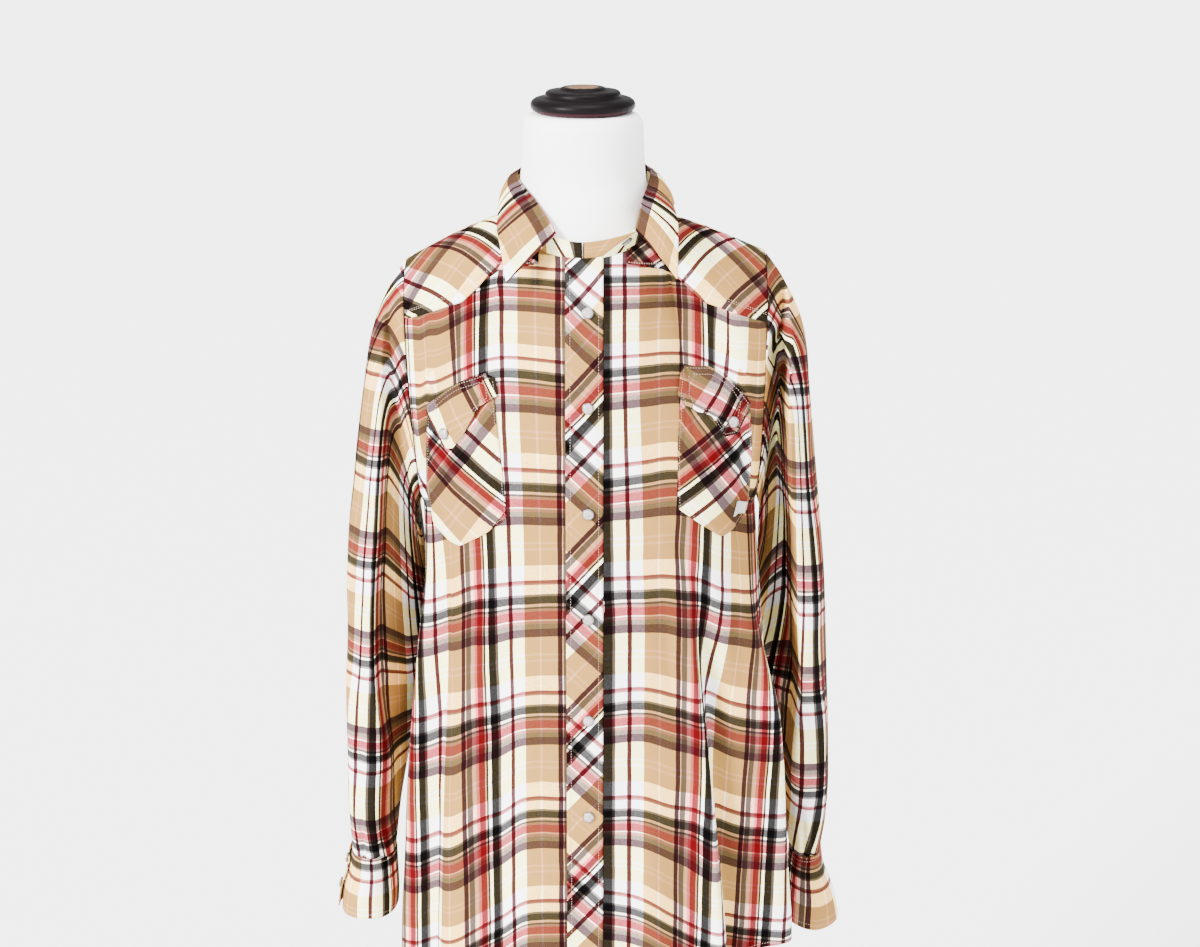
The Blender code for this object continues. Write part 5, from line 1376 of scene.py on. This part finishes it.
lacquer, tree, shader = new_material("black_lacquer", Specular_IOR_Level=0.05)
place = add_node(tree, "TexCoord").outputs["Object"]
ragged = add_node(tree, "TexNoise", Vector=place, Scale=160.0, Detail=6.0).outputs["Fac"]
grain = add_node(tree, "TexNoise", Vector=place, Scale=90.0, Detail=5.0).outputs["Fac"]
spot = add_node(tree, "SeparateXYZ", Vector=place).outputs
squares = [calc(tree, "MULTIPLY", spot[axis], spot[axis]) for axis in ("X", "Y")]
radius = calc(tree, "SQRT", calc(tree, "ADD", *squares))
worn_to = calc(tree, "ADD", WORN_RADIUS, calc(tree, "MULTIPLY", ragged, WORN_RAGGED))
on_top = calc(tree, "GREATER_THAN", spot["Z"], CAP_Z + WORN_ABOVE)
bare = calc(tree, "MULTIPLY", calc(tree, "LESS_THAN", radius, worn_to), on_top)
low_rim = calc(tree, "LESS_THAN", spot["Z"], CAP_Z + RED_BELOW)
black = mixed(tree, low_rim, (0.0030, 0.0022, 0.0024, 1.0), (0.0200, 0.0035, 0.0060, 1.0))
wood = shades(tree, grain, (0.050, 0.022, 0.010), (0.200, 0.110, 0.055))
coat = mixed(tree, bare, black.outputs["Result"], wood)
feed(tree, coat.outputs["Result"], shader.inputs["Base Color"])
gloss = add_node(tree, "MapRange", Value=ragged, To_Min=0.28, To_Max=0.55)
feed(tree, gloss.outputs["Result"], shader.inputs["Roughness"])
turned("form_cap_turned", CAP_RINGS, CAP_Z, lacquer, "form_cap")

# ---------------------------------------------------------------- pole and base
# A steel tube set in a round weighted base, both painted satin black.

POLE_TOP, BASE_HEIGHT, BASE_RADIUS = 0.7197, 0.028, 0.185
paint = mottled("satin_black_paint", ((0.0030, 0.0030, 0.0032), (0.0080, 0.0080, 0.0084)),
                {"Scale": 55.0, "Detail": 6.0}, roughness=(0.34, 0.52), Specular_IOR_Level=0.08)[0]
pole_rings = [(0.0240, BASE_HEIGHT + 0.0003), (0.0230, 0.0300), (0.0225, 0.0440), (0.0172, 0.0455),
              (0.0160, 0.0460), (0.0160, POLE_TOP)]
turned("form_pole_tube", pole_rings, 0.0, paint, "form_pole")
dished = ((1.0, 0.30), (0.975, 0.50), (0.93, 0.64), (0.80, 0.82), (0.60, 0.93), (0.30, 0.985), (0.02, 1.0))
base_rings = [(BASE_RADIUS - 0.0012, 0.0), (BASE_RADIUS, 0.0012)]
base_rings += [(BASE_RADIUS * wide, BASE_HEIGHT * high) for wide, high in dished]
turned("form_base_plate", base_rings, 0.0, paint, "form_base")

# ---------------------------------------------------------------- the tab on the pocket
# A small folded tab of plain off-white tape, blank, sewn to the left pocket at its outer edge.

TAB_CORNERS = np.array([(0.1430, 1.134), (0.1560, 1.130), (0.1530, 1.1175), (0.1400, 1.1215)])
tape = mottled("blank_tape", ((0.34, 0.33, 0.30), (0.50, 0.49, 0.46)),
               {"Scale": 700.0, "Distortion": 0.6}, kind="TexWave", Roughness=0.8)[0]
s, t = (grid[..., None] for grid in np.meshgrid(np.linspace(0.0, 1.0, 12), np.linspace(0.0, 1.0, 12)))
upper_in, upper_out, lower_out, lower_in = TAB_CORNERS
flat = (lower_in * (1 - s) + lower_out * s) * (1 - t) + (upper_in * (1 - s) + upper_out * s) * t
x, z = flat[..., 0], flat[..., 1]
angle, level = place_on_front(x, z)
lift = over_pocket("left", x, z)[..., None]
points = cloth(angle, level, "front") + cloth_normal(angle, level, "front") * lift
add_sheet("pocket_tab", make_mesh("pocket_tab", points, flat), tape, wall=0.0009, kind="tape")

# ---------------------------------------------------------------- floor, light and camera
# A plain pale floor, large soft lamps, and the camera.

bpy.ops.object.select_all(action="DESELECT")
bpy.ops.mesh.primitive_plane_add(size=120.0, location=(0.0, 0.0, 0.0))
floor = bpy.context.active_object
floor.name = "floor"
floor_paint = new_material("floor_paint", Base_Color=(0.93, 0.935, 0.94, 1.0), Roughness=0.9)[0]
floor.data.materials.append(floor_paint)

world = bpy.data.worlds.new("soft_sky")
bpy.context.scene.world = world
world.use_nodes = True
sky = world.node_tree.nodes["Background"].inputs
sky["Color"].default_value = (1.0, 1.0, 1.0, 1.0)
sky["Strength"].default_value = 1.0


def lamp(name, place, strength, spread):
    """A soft far lamp at place, aimed at the middle of the shirt."""
    light = bpy.data.lights.new(name, "SUN")
    light.energy = strength
    light.angle = math.radians(spread)
    made = put(name, light)
    made.location = place
    made.rotation_mode = "QUATERNION"
    made.rotation_quaternion = (Vector((0.0, 0.0, 1.1)) - Vector(place)).to_track_quat("-Z", "Y")


lamp("key_lamp", (-2.2, -2.2, 2.4), 15.0, 18.0)
lamp("fill_lamp", (2.3, -1.9, 2.0), 1.2, 40.0)
lamp("top_lamp", (0.3, -1.2, 4.6), 8.0, 50.0)

camera_data = bpy.data.cameras.new("camera")
camera_data.sensor_width = 36.0
camera_data.lens = 68.88
camera = put("camera", camera_data)
camera.location = (0.016, -2.166, 1.786)
camera.rotation_euler = (math.radians(90.0 - 16.6), 0.0, 0.0)
bpy.context.scene.camera = camera
